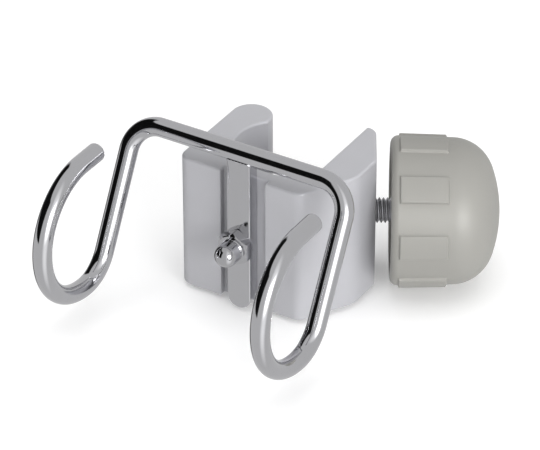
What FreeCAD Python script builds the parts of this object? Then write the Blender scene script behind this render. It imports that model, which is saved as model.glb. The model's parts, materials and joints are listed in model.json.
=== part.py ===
import FreeCAD, Part
import math
import os

import Sketcher
from FreeCAD import Placement, Rotation, Vector

# Clamp-on double hook: a C-shaped clamp body that closes on an upright tube with an M8 screw and
# knob, and a bent wire with two open hooks that is welded to a flat bar and bolted to its front.
#
# Frame: the origin is on the axis of the clamped tube, at half the height of the clamp body.
# +Z is up along the tube, -Y points forward, to the side that the hooks reach to, and +X runs
# along the crossbar towards the knob. The screw axis is level and leaves the origin at
# screw_angle from +X towards +Y.

doc = FreeCAD.newDocument("clamp_on_double_hook")

# ---------------------------------------------------------------------------------------------
# Driving sizes, in millimetres and degrees
# ---------------------------------------------------------------------------------------------

SIZES = [
    ("body_height", 46.3, "clamp body, along the tube"),
    ("seat_radius", 15.0, "round seat that the tube is pressed into"),
    ("front_wall", 6.5, "from the seat to the front face"),
    ("left_wall", 9.4, "from the seat to the left side"),
    ("front_width", 43.3, "flat front, before its corners are rounded"),
    ("front_corner_radius", 4.0, "both vertical corners of the front"),
    ("arm_inner_offset", 16.9, "screw arm's inner face, from the tube axis"),
    ("arm_inner_radius", 12.0, "corner between the front wall and the screw arm"),
    ("arm_bulge", 12.1, "screw arm's side face, out from its inner face"),
    ("bulge_radius", 12.0, "rounding between the flank and the side face"),
    ("arm_tip_reach", 23.5, "screw arm's tip, behind the tube axis"),
    ("arm_tip_radius", 4.0, "outer corner of the screw arm's tip"),
    ("small_corner_radius", 0.8, "inner corner of the tip and front edge of the screw face"),
    ("lip_radius", 6.7, "full round tip of the left arm"),
    ("lip_reach", 11.2, "centre of that round tip, behind the tube axis"),
    ("body_edge_radius", 0.8, "top and bottom edges of the body"),
    ("screw_angle", 30.0, "screw axis, from +X towards +Y"),
    ("screw_face_offset", 29.1, "face that the screw enters, along its axis"),
    ("channel_width", 15.8, "upright channel in the front face"),
    ("channel_depth", 2.2, "that channel, into the front wall"),
    ("bar_offset", -1.1, "middle of channel, bar and hooks, along X from the tube axis"),
    ("bar_width", 8.2, "flat bar"),
    ("bar_thickness", 4.8, "flat bar"),
    ("bar_foot_level", -23.3, "lowest point of the bar"),
    ("bar_edge_radius", 0.5, "long edges of the bar"),
    ("wire_diameter", 6.0, "hook wire"),
    ("crossbar_level", 31.7, "middle of the crossbar, above the tube's origin"),
    ("hook_spacing", 75.8, "between the planes of the two hooks"),
    ("shoulder_radius", 9.5, "bend between crossbar and leg, at the wire's middle"),
    ("leg_lean", 27.5, "legs lean forward, from the vertical"),
    ("hook_radius", 21.9, "open round of each hook, at the wire's middle"),
    ("heel_radius", 12.4, "tighter bend between leg and hook"),
    ("tip_length", 9.0, "straight end of each hook"),
    ("tip_edge_radius", 1.0, "rounded rim of the cut end"),
    ("weld_leg", 0.9, "weld fillet, out from the bar and down it"),
    ("weld_gap", 0.1, "bar's coped end, from the wire"),
    ("bolt_diameter", 6.0, "M6 countersunk bolt"),
    ("bolt_hole_clearance", 0.15, "bolt holes, on the radius"),
    ("bolt_head_diameter", 12.0, "countersunk head"),
    ("bolt_head_sink", 0.4, "head, below the seat"),
    ("bolt_socket_width", 4.0, "hexagon socket, across flats"),
    ("bolt_socket_depth", 2.2, "hexagon socket"),
    ("bolt_end_gap", 1.0, "bolt's end, from the bottom of the nut's blind hole"),
    ("nut_flats", 10.0, "cap nut, across flats"),
    ("nut_hex_height", 3.6, "cap nut's hexagon"),
    ("nut_face_diameter", 9.4, "front of the hexagon, inside its 30 degree bevel"),
    ("nut_height", 10.6, "cap nut, over its dome"),
    ("nut_dome_diameter", 7.4, "cap nut's dome"),
    ("nut_hole_depth", 7.8, "cap nut's blind hole"),
    ("nut_turn", -30.0, "cap nut, turned on the bolt"),
    ("nut_thread_clearance", 0.05, "cap nut's hole, on the radius"),
    ("spindle_diameter", 8.0, "M8 screw spindle"),
    ("thread_pitch", 1.25, "M8 screw spindle"),
    ("thread_clearance", 0.06, "tapped hole in the screw arm, on the radius"),
    ("spindle_reach", 9.5, "spindle's end, from the tube axis at rest"),
    ("spindle_head_flats", 13.0, "hexagon head moulded into the knob"),
    ("spindle_head_height", 5.3, "that head"),
    ("tip_bore_diameter", 4.4, "blind bore in the spindle's end"),
    ("tip_bore_depth", 7.0, "blind bore in the spindle's end"),
    ("button_diameter", 6.4, "pressure button's head"),
    ("button_height", 2.4, "pressure button's head"),
    ("button_crown", 0.5, "rise of the button's face"),
    ("button_gap", 0.1, "between the button's head and the spindle's end"),
    ("button_stem_diameter", 4.3, "pressure button's stem"),
    ("button_stem_length", 6.4, "pressure button's stem"),
    ("ring_wire", 0.7, "snap ring's wire"),
    ("ring_setback", 3.4, "snap ring, in from the spindle's end"),
    ("ring_clearance", 0.05, "snap ring, from the button's groove"),
    ("ring_opening", 60.0, "gap in the snap ring"),
    ("knob_gap", 4.5, "between the screw face and the knob at rest"),
    ("knob_radius", 23.3, "knob at its back rim"),
    ("knob_front_radius", 22.9, "knob where its dome starts"),
    ("knob_length", 34.0, "knob, back to dome"),
    ("knob_crown_radius", 42.0, "end of the dome"),
    ("knob_dome_radius", 13.5, "shoulder of the dome"),
    ("knob_rim_radius", 2.4, "rounded back rim"),
    ("knob_wall", 3.4, "knob's shell"),
    ("knob_hollow_depth", 3.8, "recessed back of the knob"),
    ("hub_radius", 9.6, "hub around the spindle"),
    ("hub_setback", 0.8, "hub's end, in from the back rim"),
    ("rib_thickness", 1.8, "ribs in the recessed back"),
    ("rib_setback", 1.0, "ribs, in from the back rim"),
    ("rib_count", 8, "ribs in the recessed back"),
    ("pad_count", 8, "raised grip pads"),
    ("pad_rise", 0.9, "grip pads, above the knob's side"),
    ("pad_start", 2.7, "grip pads, from the back rim"),
    ("pad_length", 14.8, "grip pads, along the knob"),
    ("pad_arc", 20.5, "each grip pad, round the knob"),
    ("pad_turn", 3.3, "first grip pad, up from the level"),
    ("cut_over", 1.0, "cutting outlines, past the face that they open"),
]

sheet = doc.addObject("Spreadsheet::Sheet", "Sizes")
for row, (alias, value, meaning) in enumerate(SIZES, start=1):
    sheet.set("A%d" % row, alias)
    sheet.set("B%d" % row, str(value))
    sheet.set("C%d" % row, meaning)
    sheet.setAlias("B%d" % row, alias)

# Sizes worked out from the driving ones, as formulas of the sheet
DERIVED = [
    ("front_face", "-(seat_radius + front_wall)", "Y of the front face"),
    ("left_side", "-(seat_radius + left_wall)", "X of the left side"),
    ("channel_floor", "front_face + channel_depth", "Y of the channel's floor"),
    ("bar_front", "channel_floor - bar_thickness", "Y of the bar's front face"),
    ("bar_middle", "channel_floor - bar_thickness / 2", "Y of the crossbar's middle"),
    ("flank_foot", "left_side + front_width", "X where the front meets the slanted flank"),
    ("arm_side", "arm_inner_offset + arm_bulge", "X of the screw arm's side face"),
    ("flank_top", "front_face + (arm_side - flank_foot) / tan(screw_angle)", "Y there"),
    ("face_front", "(screw_face_offset - arm_side * cos(screw_angle)) / sin(screw_angle)", "Y there"),
    ("face_back", "(screw_face_offset - arm_tip_reach * sin(screw_angle)) / cos(screw_angle)", "X there"),
    ("lip_middle", "left_side + lip_radius", "X of the lip's centre"),
    ("lip_inside", "left_side + 2 * lip_radius", "X of the lip's inner side"),
    ("seat_at_bolt", "sqrt(seat_radius * seat_radius - bar_offset * bar_offset)", "seat at the bolt"),
    ("bolt_head_top", "-(seat_at_bolt - bolt_head_sink)", "Y of the bolt's head"),
    ("bolt_head_height", "(bolt_head_diameter - bolt_diameter) / 2", "90 degree countersink"),
    ("wire_radius", "wire_diameter / 2", "hook wire"),
    ("spindle_end_chamfer", "0.6134 * thread_pitch", "as deep as the thread"),
    ("knob_back", "screw_face_offset + knob_gap", "knob's back rim, along the screw axis"),
    ("button_back", "spindle_reach - button_gap", "button's shoulder, along the screw axis"),
    ("hook_forward", "-(heel_radius + (2 * hook_radius - heel_radius) * sin(leg_lean)) / cos(leg_lean)",
     "Y of the hook's centre from the crossbar"),
    ("leg_length", "(2 * hook_radius - heel_radius) * cos(leg_lean) - hook_forward * sin(leg_lean)",
     "from the crossbar's middle to the heel"),
    ("ring_middle", "(tip_bore_diameter - ring_wire / 3) / 2", "snap ring, at its wire's middle"),
    ("button_face", "button_back - button_height", "button's face, along the screw axis"),
    ("crown_radius", "(button_diameter * button_diameter / 4 + button_crown * button_crown)"
                     " / (2 * button_crown)", "sphere of the button's face"),
    ("head_start", "knob_back + knob_hollow_depth", "spindle's head, along the screw axis"),
    ("dome_start", "knob_length - knob_crown_radius + sqrt((knob_crown_radius - knob_dome_radius)"
                   " * (knob_crown_radius - knob_dome_radius) - (knob_front_radius - knob_dome_radius)"
                   " * (knob_front_radius - knob_dome_radius))", "where the knob's dome starts"),
    ("dome_meet_across", "(knob_front_radius - knob_dome_radius) * knob_crown_radius"
                         " / (knob_crown_radius - knob_dome_radius)", "where the dome's two arcs meet"),
    ("dome_meet_along", "knob_length - knob_crown_radius + (dome_start - knob_length + knob_crown_radius)"
                        " * knob_crown_radius / (knob_crown_radius - knob_dome_radius)", "and along it"),
    ("heel_across", "-heel_radius", "heel's centre, in the leaning plane of the hook"),
    ("round_across", "hook_forward * cos(leg_lean) + hook_radius * sin(leg_lean)", "round's centre there"),
    ("round_along", "hook_forward * sin(leg_lean) - hook_radius * cos(leg_lean)", "round's centre there"),
    ("lowest_across", "round_across + hook_radius * sin(leg_lean)", "lowest point of the hook there"),
    ("tip_start_across", "hook_forward * cos(leg_lean)", "start of the straight end there"),
    ("tip_start_along", "hook_forward * sin(leg_lean)", "start of the straight end there"),
    ("tip_end_across", "(hook_forward + tip_length) * cos(leg_lean)", "end of the wire there"),
    ("tip_end_along", "(hook_forward + tip_length) * sin(leg_lean)", "end of the wire there"),
    ("bolt_length", "bolt_head_top - bar_front + nut_hole_depth - bolt_end_gap", "over the head"),
]
first_derived = len(SIZES) + 2
for row, (alias, formula, meaning) in enumerate(DERIVED, start=first_derived):
    for angle in ("screw_angle", "leg_lean"):
        formula = formula.replace("(%s)" % angle, "(%s * 1deg)" % angle)
    sheet.set("A%d" % row, alias)
    sheet.setAlias("B%d" % row, alias)
    sheet.set("B%d" % row, "=" + formula)
    sheet.set("C%d" % row, meaning)
doc.recompute()


def size(alias):
    """The present value of a named size."""
    return float(sheet.get(alias))


# ---------------------------------------------------------------------------------------------
# Short helpers for bodies, sketches and features
# ---------------------------------------------------------------------------------------------

NODES = []
NEAR = 0.001    # two points closer than this are one


def bind(target, **formulas):
    """Bind properties of an object to formulas of the sheet's aliases."""
    for name, formula in formulas.items():
        target.setExpression(name.replace("__", "."), formula)


def sized(formula):
    """Prefix each alias in a formula with the sheet's name."""
    words = []
    word = ""
    for letter in formula + " ":
        if letter.isalnum() or letter == "_":
            word += letter
            continue
        if word in ALIASES:
            word = "Sizes." + word
        words.append(word + letter)
        word = ""
    return "".join(words).strip()


ALIASES = {row[0] for row in SIZES + DERIVED}


def new_body(label):
    """A PartDesign body whose label names its node."""
    body = doc.addObject("PartDesign::Body", label)
    body.Label = label
    NODES.append(body)
    return body


def plane_of(body, role):
    """One of a body's own origin planes or axes."""
    return next(item for item in body.Origin.OriginFeatures if item.Role == role)


def new_sketch(body, name, role="XY_Plane", lift=None):
    """A sketch on one of the body's origin planes, lifted off it by a formula."""
    sketch = body.newObject("Sketcher::SketchObject", name)
    sketch.AttachmentSupport = [(plane_of(body, role), "")]
    sketch.MapMode = "FlatFace"
    if lift:
        sketch.setExpression("AttachmentOffset.Base.z", sized(lift))
    return sketch


def measure(sketch, constraint, formula):
    """Add a dimension to a sketch and bind it to a formula."""
    index = sketch.addConstraint(constraint)
    sketch.setExpression("Constraints[%d]" % index, sized(formula))


def pin(sketch, geometry, corner, across, along):
    """Fix one point of a sketch at two formulas, measured from the sketch's origin."""
    for kind, formula in (("DistanceX", across), ("DistanceY", along)):
        measure(sketch, Sketcher.Constraint(kind, -1, 1, geometry, corner, value(formula)), formula)


def value(formula):
    """The present value of a formula of the sheet's aliases."""
    return float(sheet.evalExpression(sized(formula)))


def values(formulas):
    """The point that a pair of formulas gives now, as a sketch's first guess."""
    return Vector(value(formulas[0]), value(formulas[1]), 0.0)


def outline(sketch, corners):
    """A closed outline of straight edges, each corner pinned at a pair of formulas."""
    places = [values(corner) for corner in corners]
    count = len(places)
    for number in range(count):
        sketch.addGeometry(Part.LineSegment(places[number], places[(number + 1) % count]), False)
    for number in range(count):
        sketch.addConstraint(Sketcher.Constraint("Coincident", number, 2, (number + 1) % count, 1))
    for number, corner in enumerate(corners):
        pin(sketch, number, 1, *corner)


def profile(sketch, start, steps):
    """A closed outline of lines and arcs that starts at a pair of formulas.

    A step is (end,) for a line, or (end, centre, way) for an arc about a centre, where way is 1
    for an arc that turns left along the outline and -1 for one that turns right.
    """
    for step in steps:
        end = step[0]
        first, last = values(start), values(end)
        if len(step) == 1:
            number = sketch.addGeometry(Part.LineSegment(first, last), False)
            pin(sketch, number, 1, *start)
            pin(sketch, number, 2, *end)
        else:
            centre, way = step[1], step[2]
            middle = values(centre)
            if way < 0:
                first, last = last, first
            angles = [math.atan2(point.y - middle.y, point.x - middle.x) for point in (first, last)]
            if angles[1] < angles[0]:
                angles[1] += 2 * math.pi
            circle = Part.Circle(middle, Vector(0, 0, 1), first.distanceToPoint(middle))
            number = sketch.addGeometry(Part.ArcOfCircle(circle, *angles), False)
            ends = (1, 2) if way > 0 else (2, 1)
            pin(sketch, number, 3, *centre)
            pin(sketch, number, ends[0], *start)
            reach = values(end) - middle
            steep = abs(reach.x) > abs(reach.y)
            kind, formula = ("DistanceY", end[1]) if steep else ("DistanceX", end[0])
            measure(sketch, Sketcher.Constraint(kind, -1, 1, number, ends[1], value(formula)), formula)
        start = end


def hexagon(sketch, flats):
    """A hexagon about the sketch's origin, by its width across flats, with a corner on its X axis."""
    corners = []
    for number in range(6):
        angle = math.radians(60 * number)
        corners.append(("(%s) / sqrt(3) * %.9f" % (flats, math.cos(angle)),
                        "(%s) / sqrt(3) * %.9f" % (flats, math.sin(angle))))
    outline(sketch, corners)


def round_outline(sketch, centre, radius):
    """A full circle with its centre and radius bound to formulas."""
    number = sketch.addGeometry(Part.Circle(values(centre), Vector(0, 0, 1), value(radius)), False)
    pin(sketch, number, 3, *centre)
    measure(sketch, Sketcher.Constraint("Radius", number, value(radius)), radius)


def pad(body, sketch, length, midplane=False, back=False):
    """Pad a sketch by a formula."""
    feature = body.newObject("PartDesign::Pad", sketch.Name + "_pad")
    feature.Profile = sketch
    feature.setExpression("Length", sized(length))
    feature.Midplane = midplane
    feature.Reversed = back
    doc.recompute()
    return feature


def pocket(body, sketch, length=None, back=False):
    """Cut a sketch by a formula, or right through both ways; a cut that removes nothing stops."""
    before = body.Shape.Volume
    feature = body.newObject("PartDesign::Pocket", sketch.Name + "_cut")
    feature.Profile = sketch
    if length is None:
        feature.Type = 1
        feature.Midplane = True
    else:
        feature.setExpression("Length", sized(length))
        feature.Reversed = back
    doc.recompute()
    if not body.Shape.Volume < before:
        raise RuntimeError(feature.Name + " cuts nothing")
    return feature


def turned(body, sketch, axis, cut=False):
    """Revolve a sketch round one of its own axes, to add or to cut."""
    before = body.Shape.Volume if cut else 0.0
    kind = "PartDesign::Groove" if cut else "PartDesign::Revolution"
    feature = body.newObject(kind, sketch.Name + ("_groove" if cut else "_turned"))
    feature.Profile = sketch
    feature.ReferenceAxis = (sketch, [axis])
    feature.Angle = 360.0
    doc.recompute()
    if cut and not body.Shape.Volume < before:
        raise RuntimeError(feature.Name + " cuts nothing")
    return feature


def edges_where(shape, test):
    """Names of the edges that pass a test."""
    return ["Edge%d" % number for number, edge in enumerate(shape.Edges, start=1) if test(edge)]


def is_upright_at(edge, x, y):
    """Whether an edge runs along Z through the point x, y."""
    ends = [vertex.Point for vertex in edge.Vertexes]
    near = 0.01
    return len(ends) == 2 and all(math.hypot(end.x - x, end.y - y) < near for end in ends)


def is_round_at(edge, place):
    """Whether an edge is a circle about a place."""
    return isinstance(edge.Curve, Part.Circle) and edge.Curve.Center.distanceToPoint(place) < NEAR


def fillet(body, names, radius, label):
    """Round named edges of the body's present shape by a formula."""
    if not names:
        raise RuntimeError(label + " found no edge")
    base = body.Tip
    feature = body.newObject("PartDesign::Fillet", label)
    feature.Base = (base, names)
    feature.setExpression("Radius", sized(radius))
    doc.recompute()
    return feature


def swept(body, section, route, label):
    """Sweep a section sketch along a route sketch."""
    feature = body.newObject("PartDesign::AdditivePipe", label)
    feature.Profile = section
    feature.Spine = route
    doc.recompute()
    return feature


def polar(body, originals, sketch_axis, count, label):
    """Repeat features evenly round an axis of a sketch."""
    feature = body.newObject("PartDesign::PolarPattern", label)
    feature.Originals = originals
    feature.Axis = sketch_axis
    feature.Angle = 360.0
    feature.setExpression("Occurrences", sized(count))
    body.Tip = feature
    doc.recompute()
    return feature


def place_body(body, x="0", y="0", z="0"):
    """Put a body's own origin at three formulas."""
    bind(body, Placement__Base__x=sized(x), Placement__Base__y=sized(y), Placement__Base__z=sized(z))


def on_screw_axis(body, along, turn="0"):
    """Stand a body's own Z along the screw axis, at a distance along it, turned about it.

    The body's own X is level and points forward, and its own Y points down, before the turn.
    """
    place_body(body, "(%s) * cos(screw_angle * 1deg)" % along, "(%s) * sin(screw_angle * 1deg)" % along)
    angle = math.radians(size("screw_angle"))
    axis = Vector(math.cos(angle), math.sin(angle), 0)
    forward = Vector(axis.y, -axis.x, 0)
    stand = Rotation(forward, Vector(0, 0, 1), axis, "ZXY")
    body.Placement.Rotation = Rotation(axis, value(turn)) * stand


# ---------------------------------------------------------------------------------------------
# Clamp body
# ---------------------------------------------------------------------------------------------


def make_clamp_body():
    """C-shaped body of one section: outline, round lip, seat, mouth, channel and holes."""
    body = new_body("clamp_body")
    section = new_sketch(body, "clamp_section")
    outline(section, [
        ("left_side", "front_face"),
        ("flank_foot", "front_face"),
        ("arm_side", "flank_top"),
        ("arm_side", "face_front"),
        ("face_back", "arm_tip_reach"),
        ("arm_inner_offset", "arm_tip_reach"),
        ("arm_inner_offset", "0"),
        ("lip_inside", "0"),
        ("lip_inside", "lip_reach"),
        ("left_side", "lip_reach"),
    ])
    pad(body, section, "body_height", midplane=True)
    lip = new_sketch(body, "clamp_lip")
    round_outline(lip, ("lip_middle", "lip_reach"), "lip_radius")
    pad(body, lip, "body_height", midplane=True)

    seat = new_sketch(body, "clamp_seat")
    round_outline(seat, ("0", "0"), "seat_radius")
    pocket(body, seat)
    mouth = new_sketch(body, "clamp_mouth")
    outline(mouth, [
        ("0", "-seat_radius"),
        ("arm_inner_offset", "-seat_radius"),
        ("arm_inner_offset", "arm_tip_reach / 2"),
        ("lip_inside", "arm_tip_reach / 2"),
        ("lip_inside", "0"),
    ])
    pocket(body, mouth)

    corners = [
        ("front_corner_radius", [("left_side", "front_face"), ("flank_foot", "front_face")]),
        ("bulge_radius", [("arm_side", "flank_top")]),
        ("arm_tip_radius", [("face_back", "arm_tip_reach")]),
        ("small_corner_radius", [("arm_side", "face_front"), ("arm_inner_offset", "arm_tip_reach")]),
        ("arm_inner_radius", [("arm_inner_offset", "-seat_radius")]),
    ]
    for radius, places in corners:
        names = []
        for place in places:
            point = values(place)
            names += edges_where(body.Tip.Shape, lambda edge: is_upright_at(edge, point.x, point.y))
        fillet(body, names, radius, "clamp_" + radius)

    channel = new_sketch(body, "clamp_channel")
    outline(channel, [
        ("bar_offset - channel_width / 2", "front_face - cut_over"),
        ("bar_offset + channel_width / 2", "front_face - cut_over"),
        ("bar_offset + channel_width / 2", "channel_floor"),
        ("bar_offset - channel_width / 2", "channel_floor"),
    ])
    pocket(body, channel)

    top = size("body_height") / 2
    names = edges_where(body.Tip.Shape, lambda edge: all(
        abs(abs(vertex.Point.z) - top) < NEAR for vertex in edge.Vertexes)
        and edge.BoundBox.ZLength < NEAR)
    fillet(body, names, "body_edge_radius", "clamp_rims")

    # Bolt hole with its countersink, turned about the bolt's axis
    bolt_hole = new_sketch(body, "clamp_bolt_hole")
    hole_radius = "bolt_diameter / 2 + bolt_hole_clearance"
    head_radius = "bolt_head_diameter / 2 + bolt_hole_clearance"
    bolt_hole.setExpression("AttachmentOffset.Base.x", sized("bar_offset"))
    outline(bolt_hole, [
        ("0", "front_face - cut_over"),
        (hole_radius, "front_face - cut_over"),
        (hole_radius, "bolt_head_top - bolt_head_height"),
        (head_radius, "bolt_head_top"),
        (head_radius, "0"),
        ("0", "0"),
    ])
    turned(body, bolt_hole, "V_Axis", cut=True)

    # Tapped hole for the spindle, turned about the screw axis
    tapped = new_sketch(body, "clamp_tapped_hole")
    tapped.AttachmentOffset = Placement(Vector(0, 0, 0), Rotation(Vector(0, 0, 1), size("screw_angle")))
    bore_radius = "spindle_diameter / 2 + thread_clearance"
    outline(tapped, [
        ("0", "0"),
        ("screw_face_offset + cut_over", "0"),
        ("screw_face_offset + cut_over", bore_radius),
        ("0", bore_radius),
    ])
    turned(body, tapped, "H_Axis", cut=True)
    return body


# ---------------------------------------------------------------------------------------------
# Hooks: bar, bent wire and weld
# ---------------------------------------------------------------------------------------------


def make_mounting_bar():
    """Flat bar with a full round foot, a bolt hole and a coped end under the crossbar."""
    body = new_body("mounting_bar")
    place_body(body, "bar_offset", "bar_middle", "0")
    face = new_sketch(body, "bar_face", "XZ_Plane")
    outline(face, [
        ("-bar_width / 2", "bar_foot_level + bar_width / 2"),
        ("bar_width / 2", "bar_foot_level + bar_width / 2"),
        ("bar_width / 2", "crossbar_level"),
        ("-bar_width / 2", "crossbar_level"),
    ])
    pad(body, face, "bar_thickness", midplane=True)
    foot = new_sketch(body, "bar_foot", "XZ_Plane")
    round_outline(foot, ("0", "bar_foot_level + bar_width / 2"), "bar_width / 2")
    pad(body, foot, "bar_thickness", midplane=True)
    half_thick = size("bar_thickness") / 2
    top = size("crossbar_level")
    names = edges_where(body.Tip.Shape, lambda edge: all(
        abs(abs(vertex.Point.y) - half_thick) < NEAR for vertex in edge.Vertexes)
        and edge.BoundBox.YLength < NEAR
        and not all(abs(vertex.Point.z - top) < NEAR for vertex in edge.Vertexes))
    fillet(body, names, "bar_edge_radius", "bar_edges")
    hole = new_sketch(body, "bar_hole", "XZ_Plane")
    round_outline(hole, ("0", "0"), "bolt_diameter / 2 + bolt_hole_clearance")
    pocket(body, hole)
    cope = new_sketch(body, "bar_cope", "YZ_Plane")
    round_outline(cope, ("0", "crossbar_level"), "wire_radius + weld_gap")
    pocket(body, cope)
    return body


def make_hook_wire():
    """One bent wire: crossbar, two shoulders, two leaning legs and two open hooks.

    The body leans forward with the legs, so that its own XZ plane holds crossbar and legs. The
    right half is two pipes, crossbar to heel and heel to tip, and the left half mirrors them.
    """
    body = new_body("hook_wire")
    place_body(body, "bar_offset", "bar_middle", "crossbar_level")
    body.Placement.Rotation = Rotation(Vector(1, 0, 0), -size("leg_lean"))
    lean = math.radians(size("leg_lean"))
    round_middle = Vector(value("hook_forward"), -size("hook_radius"), 0)
    heel_middle = Vector(round_middle.x, -2 * size("hook_radius") + size("heel_radius"), 0)
    leg_end = heel_middle.dot(Vector(-math.sin(lean), -math.cos(lean), 0))

    def inward(point):
        """From level side-view axes to the leaning sketch's own axes, round the crossbar."""
        return Vector(point.x * math.cos(lean) - point.y * math.sin(lean),
                      point.x * math.sin(lean) + point.y * math.cos(lean), 0)

    half = size("hook_spacing") / 2
    shoulder = size("shoulder_radius")
    frame = new_sketch(body, "wire_frame", "XZ_Plane")
    corner = Vector(half - shoulder, -shoulder, 0)
    frame.addGeometry([
        Part.LineSegment(Vector(0, 0, 0), Vector(corner.x, 0, 0)),
        Part.ArcOfCircle(Part.Circle(corner, Vector(0, 0, 1), shoulder), 0, math.pi / 2),
        Part.LineSegment(Vector(half, corner.y, 0), Vector(half, -leg_end, 0)),
    ], False)
    pin(frame, 0, 1, "0", "0")
    pin(frame, 0, 2, "hook_spacing / 2 - shoulder_radius", "0")
    pin(frame, 1, 3, "hook_spacing / 2 - shoulder_radius", "-shoulder_radius")
    for first, first_end, second, second_end in ((0, 2, 1, 2), (1, 1, 2, 1)):
        frame.addConstraint(Sketcher.Constraint("Coincident", first, first_end, second, second_end))
    frame.addConstraint(Sketcher.Constraint("Vertical", 2))
    measure(frame, Sketcher.Constraint("DistanceY", -1, 1, 2, 2, -leg_end), "-leg_length")
    start = new_sketch(body, "wire_start", "YZ_Plane")
    round_outline(start, ("0", "0"), "wire_radius")
    upper = swept(body, start, frame, "wire_upper")

    hook = new_sketch(body, "wire_hook", "YZ_Plane", lift="hook_spacing / 2")
    heel_centre = inward(heel_middle)
    round_centre = inward(round_middle)
    bottom = math.radians(-90) + lean
    top = math.radians(90) + lean
    tip_start = Vector(round_middle.x, 0, 0)
    tip_end = Vector(round_middle.x + size("tip_length"), 0, 0)
    hook.addGeometry([
        Part.ArcOfCircle(Part.Circle(heel_centre, Vector(0, 0, 1), size("heel_radius")), bottom, 0),
        Part.ArcOfCircle(Part.Circle(round_centre, Vector(0, 0, 1), size("hook_radius")), top, top + math.pi),
        Part.LineSegment(inward(tip_start), inward(tip_end)),
    ], False)
    pin(hook, 0, 3, "heel_across", "-leg_length")
    pin(hook, 0, 2, "0", "-leg_length")
    pin(hook, 1, 3, "round_across", "round_along")
    pin(hook, 1, 1, "tip_start_across", "tip_start_along")
    pin(hook, 2, 1, "tip_start_across", "tip_start_along")
    pin(hook, 2, 2, "tip_end_across", "tip_end_along")
    for arc, lowest in ((0, 1), (1, 2)):
        across = value("lowest_across")
        measure(hook, Sketcher.Constraint("DistanceX", -1, 1, arc, lowest, across), "lowest_across")
    heel_start = new_sketch(body, "wire_heel_start", lift="-leg_length")
    round_outline(heel_start, ("hook_spacing / 2", "0"), "wire_radius")
    lower = swept(body, heel_start, hook, "wire_lower")
    mirror = body.newObject("PartDesign::Mirrored", "wire_left_half")
    mirror.Originals = [upper, lower]
    mirror.MirrorPlane = (plane_of(body, "YZ_Plane"), [""])
    body.Tip = mirror
    doc.recompute()
    end = inward(tip_end)
    ends = [Vector(side * half, end.x, end.y) for side in (-1, 1)]
    names = edges_where(body.Tip.Shape, lambda edge: any(is_round_at(edge, place) for place in ends))
    fillet(body, names, "tip_edge_radius", "wire_tip_rims")
    return body


def make_hook_weld():
    """Weld bead all round the bar's coped end, under the crossbar."""
    bead = doc.addObject("Part::Wedge", "weld_bead")
    foot = "(crossbar_level - wire_radius - weld_leg / 2)"
    head = "(crossbar_level - wire_radius / 2)"
    for end, grow in (("", "weld_gap"), ("2", "weld_leg")):
        bind(bead, **{
            "X%smin" % end: sized("-(bar_width / 2 + %s)" % grow),
            "X%smax" % end: sized("bar_width / 2 + %s" % grow),
            "Z%smin" % end: sized("-(bar_thickness / 2 + %s / 2)" % grow),
            "Z%smax" % end: sized("bar_thickness / 2 + %s / 2" % grow),
        })
    bind(bead, Ymin=sized(foot), Ymax=sized(head))
    bead.Placement.Rotation = Rotation(Vector(1, 0, 0), 90)
    place_body(bead, "bar_offset", "bar_middle", "0")
    bar = doc.addObject("Part::Box", "weld_bar_space")
    bind(bar, Length=sized("bar_width"), Width=sized("bar_thickness"), Height=sized("crossbar_level"))
    place_body(bar, "bar_offset - bar_width / 2", "bar_middle - bar_thickness / 2", "0")
    wire = doc.addObject("Part::Cylinder", "weld_wire_space")
    bind(wire, Radius=sized("wire_radius"), Height=sized("hook_spacing / 2"))
    wire.Placement.Rotation = Rotation(Vector(0, 1, 0), 90)
    place_body(wire, "bar_offset - hook_spacing / 4", "bar_middle", "crossbar_level")
    spaces = doc.addObject("Part::Fuse", "weld_spaces")
    spaces.Base = bar
    spaces.Tool = wire
    weld = doc.addObject("Part::Cut", "hook_weld")
    weld.Label = "hook_weld"
    weld.Base = bead
    weld.Tool = spaces
    NODES.append(weld)
    doc.recompute()
    return weld


# ---------------------------------------------------------------------------------------------
# Fasteners of the hooks
# ---------------------------------------------------------------------------------------------


def face_forward(body, start, turn="0"):
    """Put a body's own Z along -Y on the bolt's axis, from a start along Y, turned about it."""
    place_body(body, "bar_offset", start, "0")
    body.Placement.Rotation = Rotation(Vector(1, 0, 0), 90) * Rotation(Vector(0, 0, 1), value(turn))


def make_bolt():
    """Countersunk socket bolt, put in from the seat; its own Z runs forward from its head."""
    body = new_body("countersunk_bolt")
    face_forward(body, "bolt_head_top")
    side = new_sketch(body, "bolt_side", "XZ_Plane")
    profile(side, ("0", "0"), [
        (("bolt_head_diameter / 2", "0"),),
        (("bolt_diameter / 2", "bolt_head_height"),),
        (("bolt_diameter / 2", "bolt_length - bolt_diameter / 8"),),
        (("bolt_diameter * 3 / 8", "bolt_length"),),
        (("0", "bolt_length"),),
        (("0", "0"),),
    ])
    turned(body, side, "V_Axis")
    socket = new_sketch(body, "bolt_socket")
    hexagon(socket, "bolt_socket_width")
    pocket(body, socket, "bolt_socket_depth", back=True)
    return body


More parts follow.
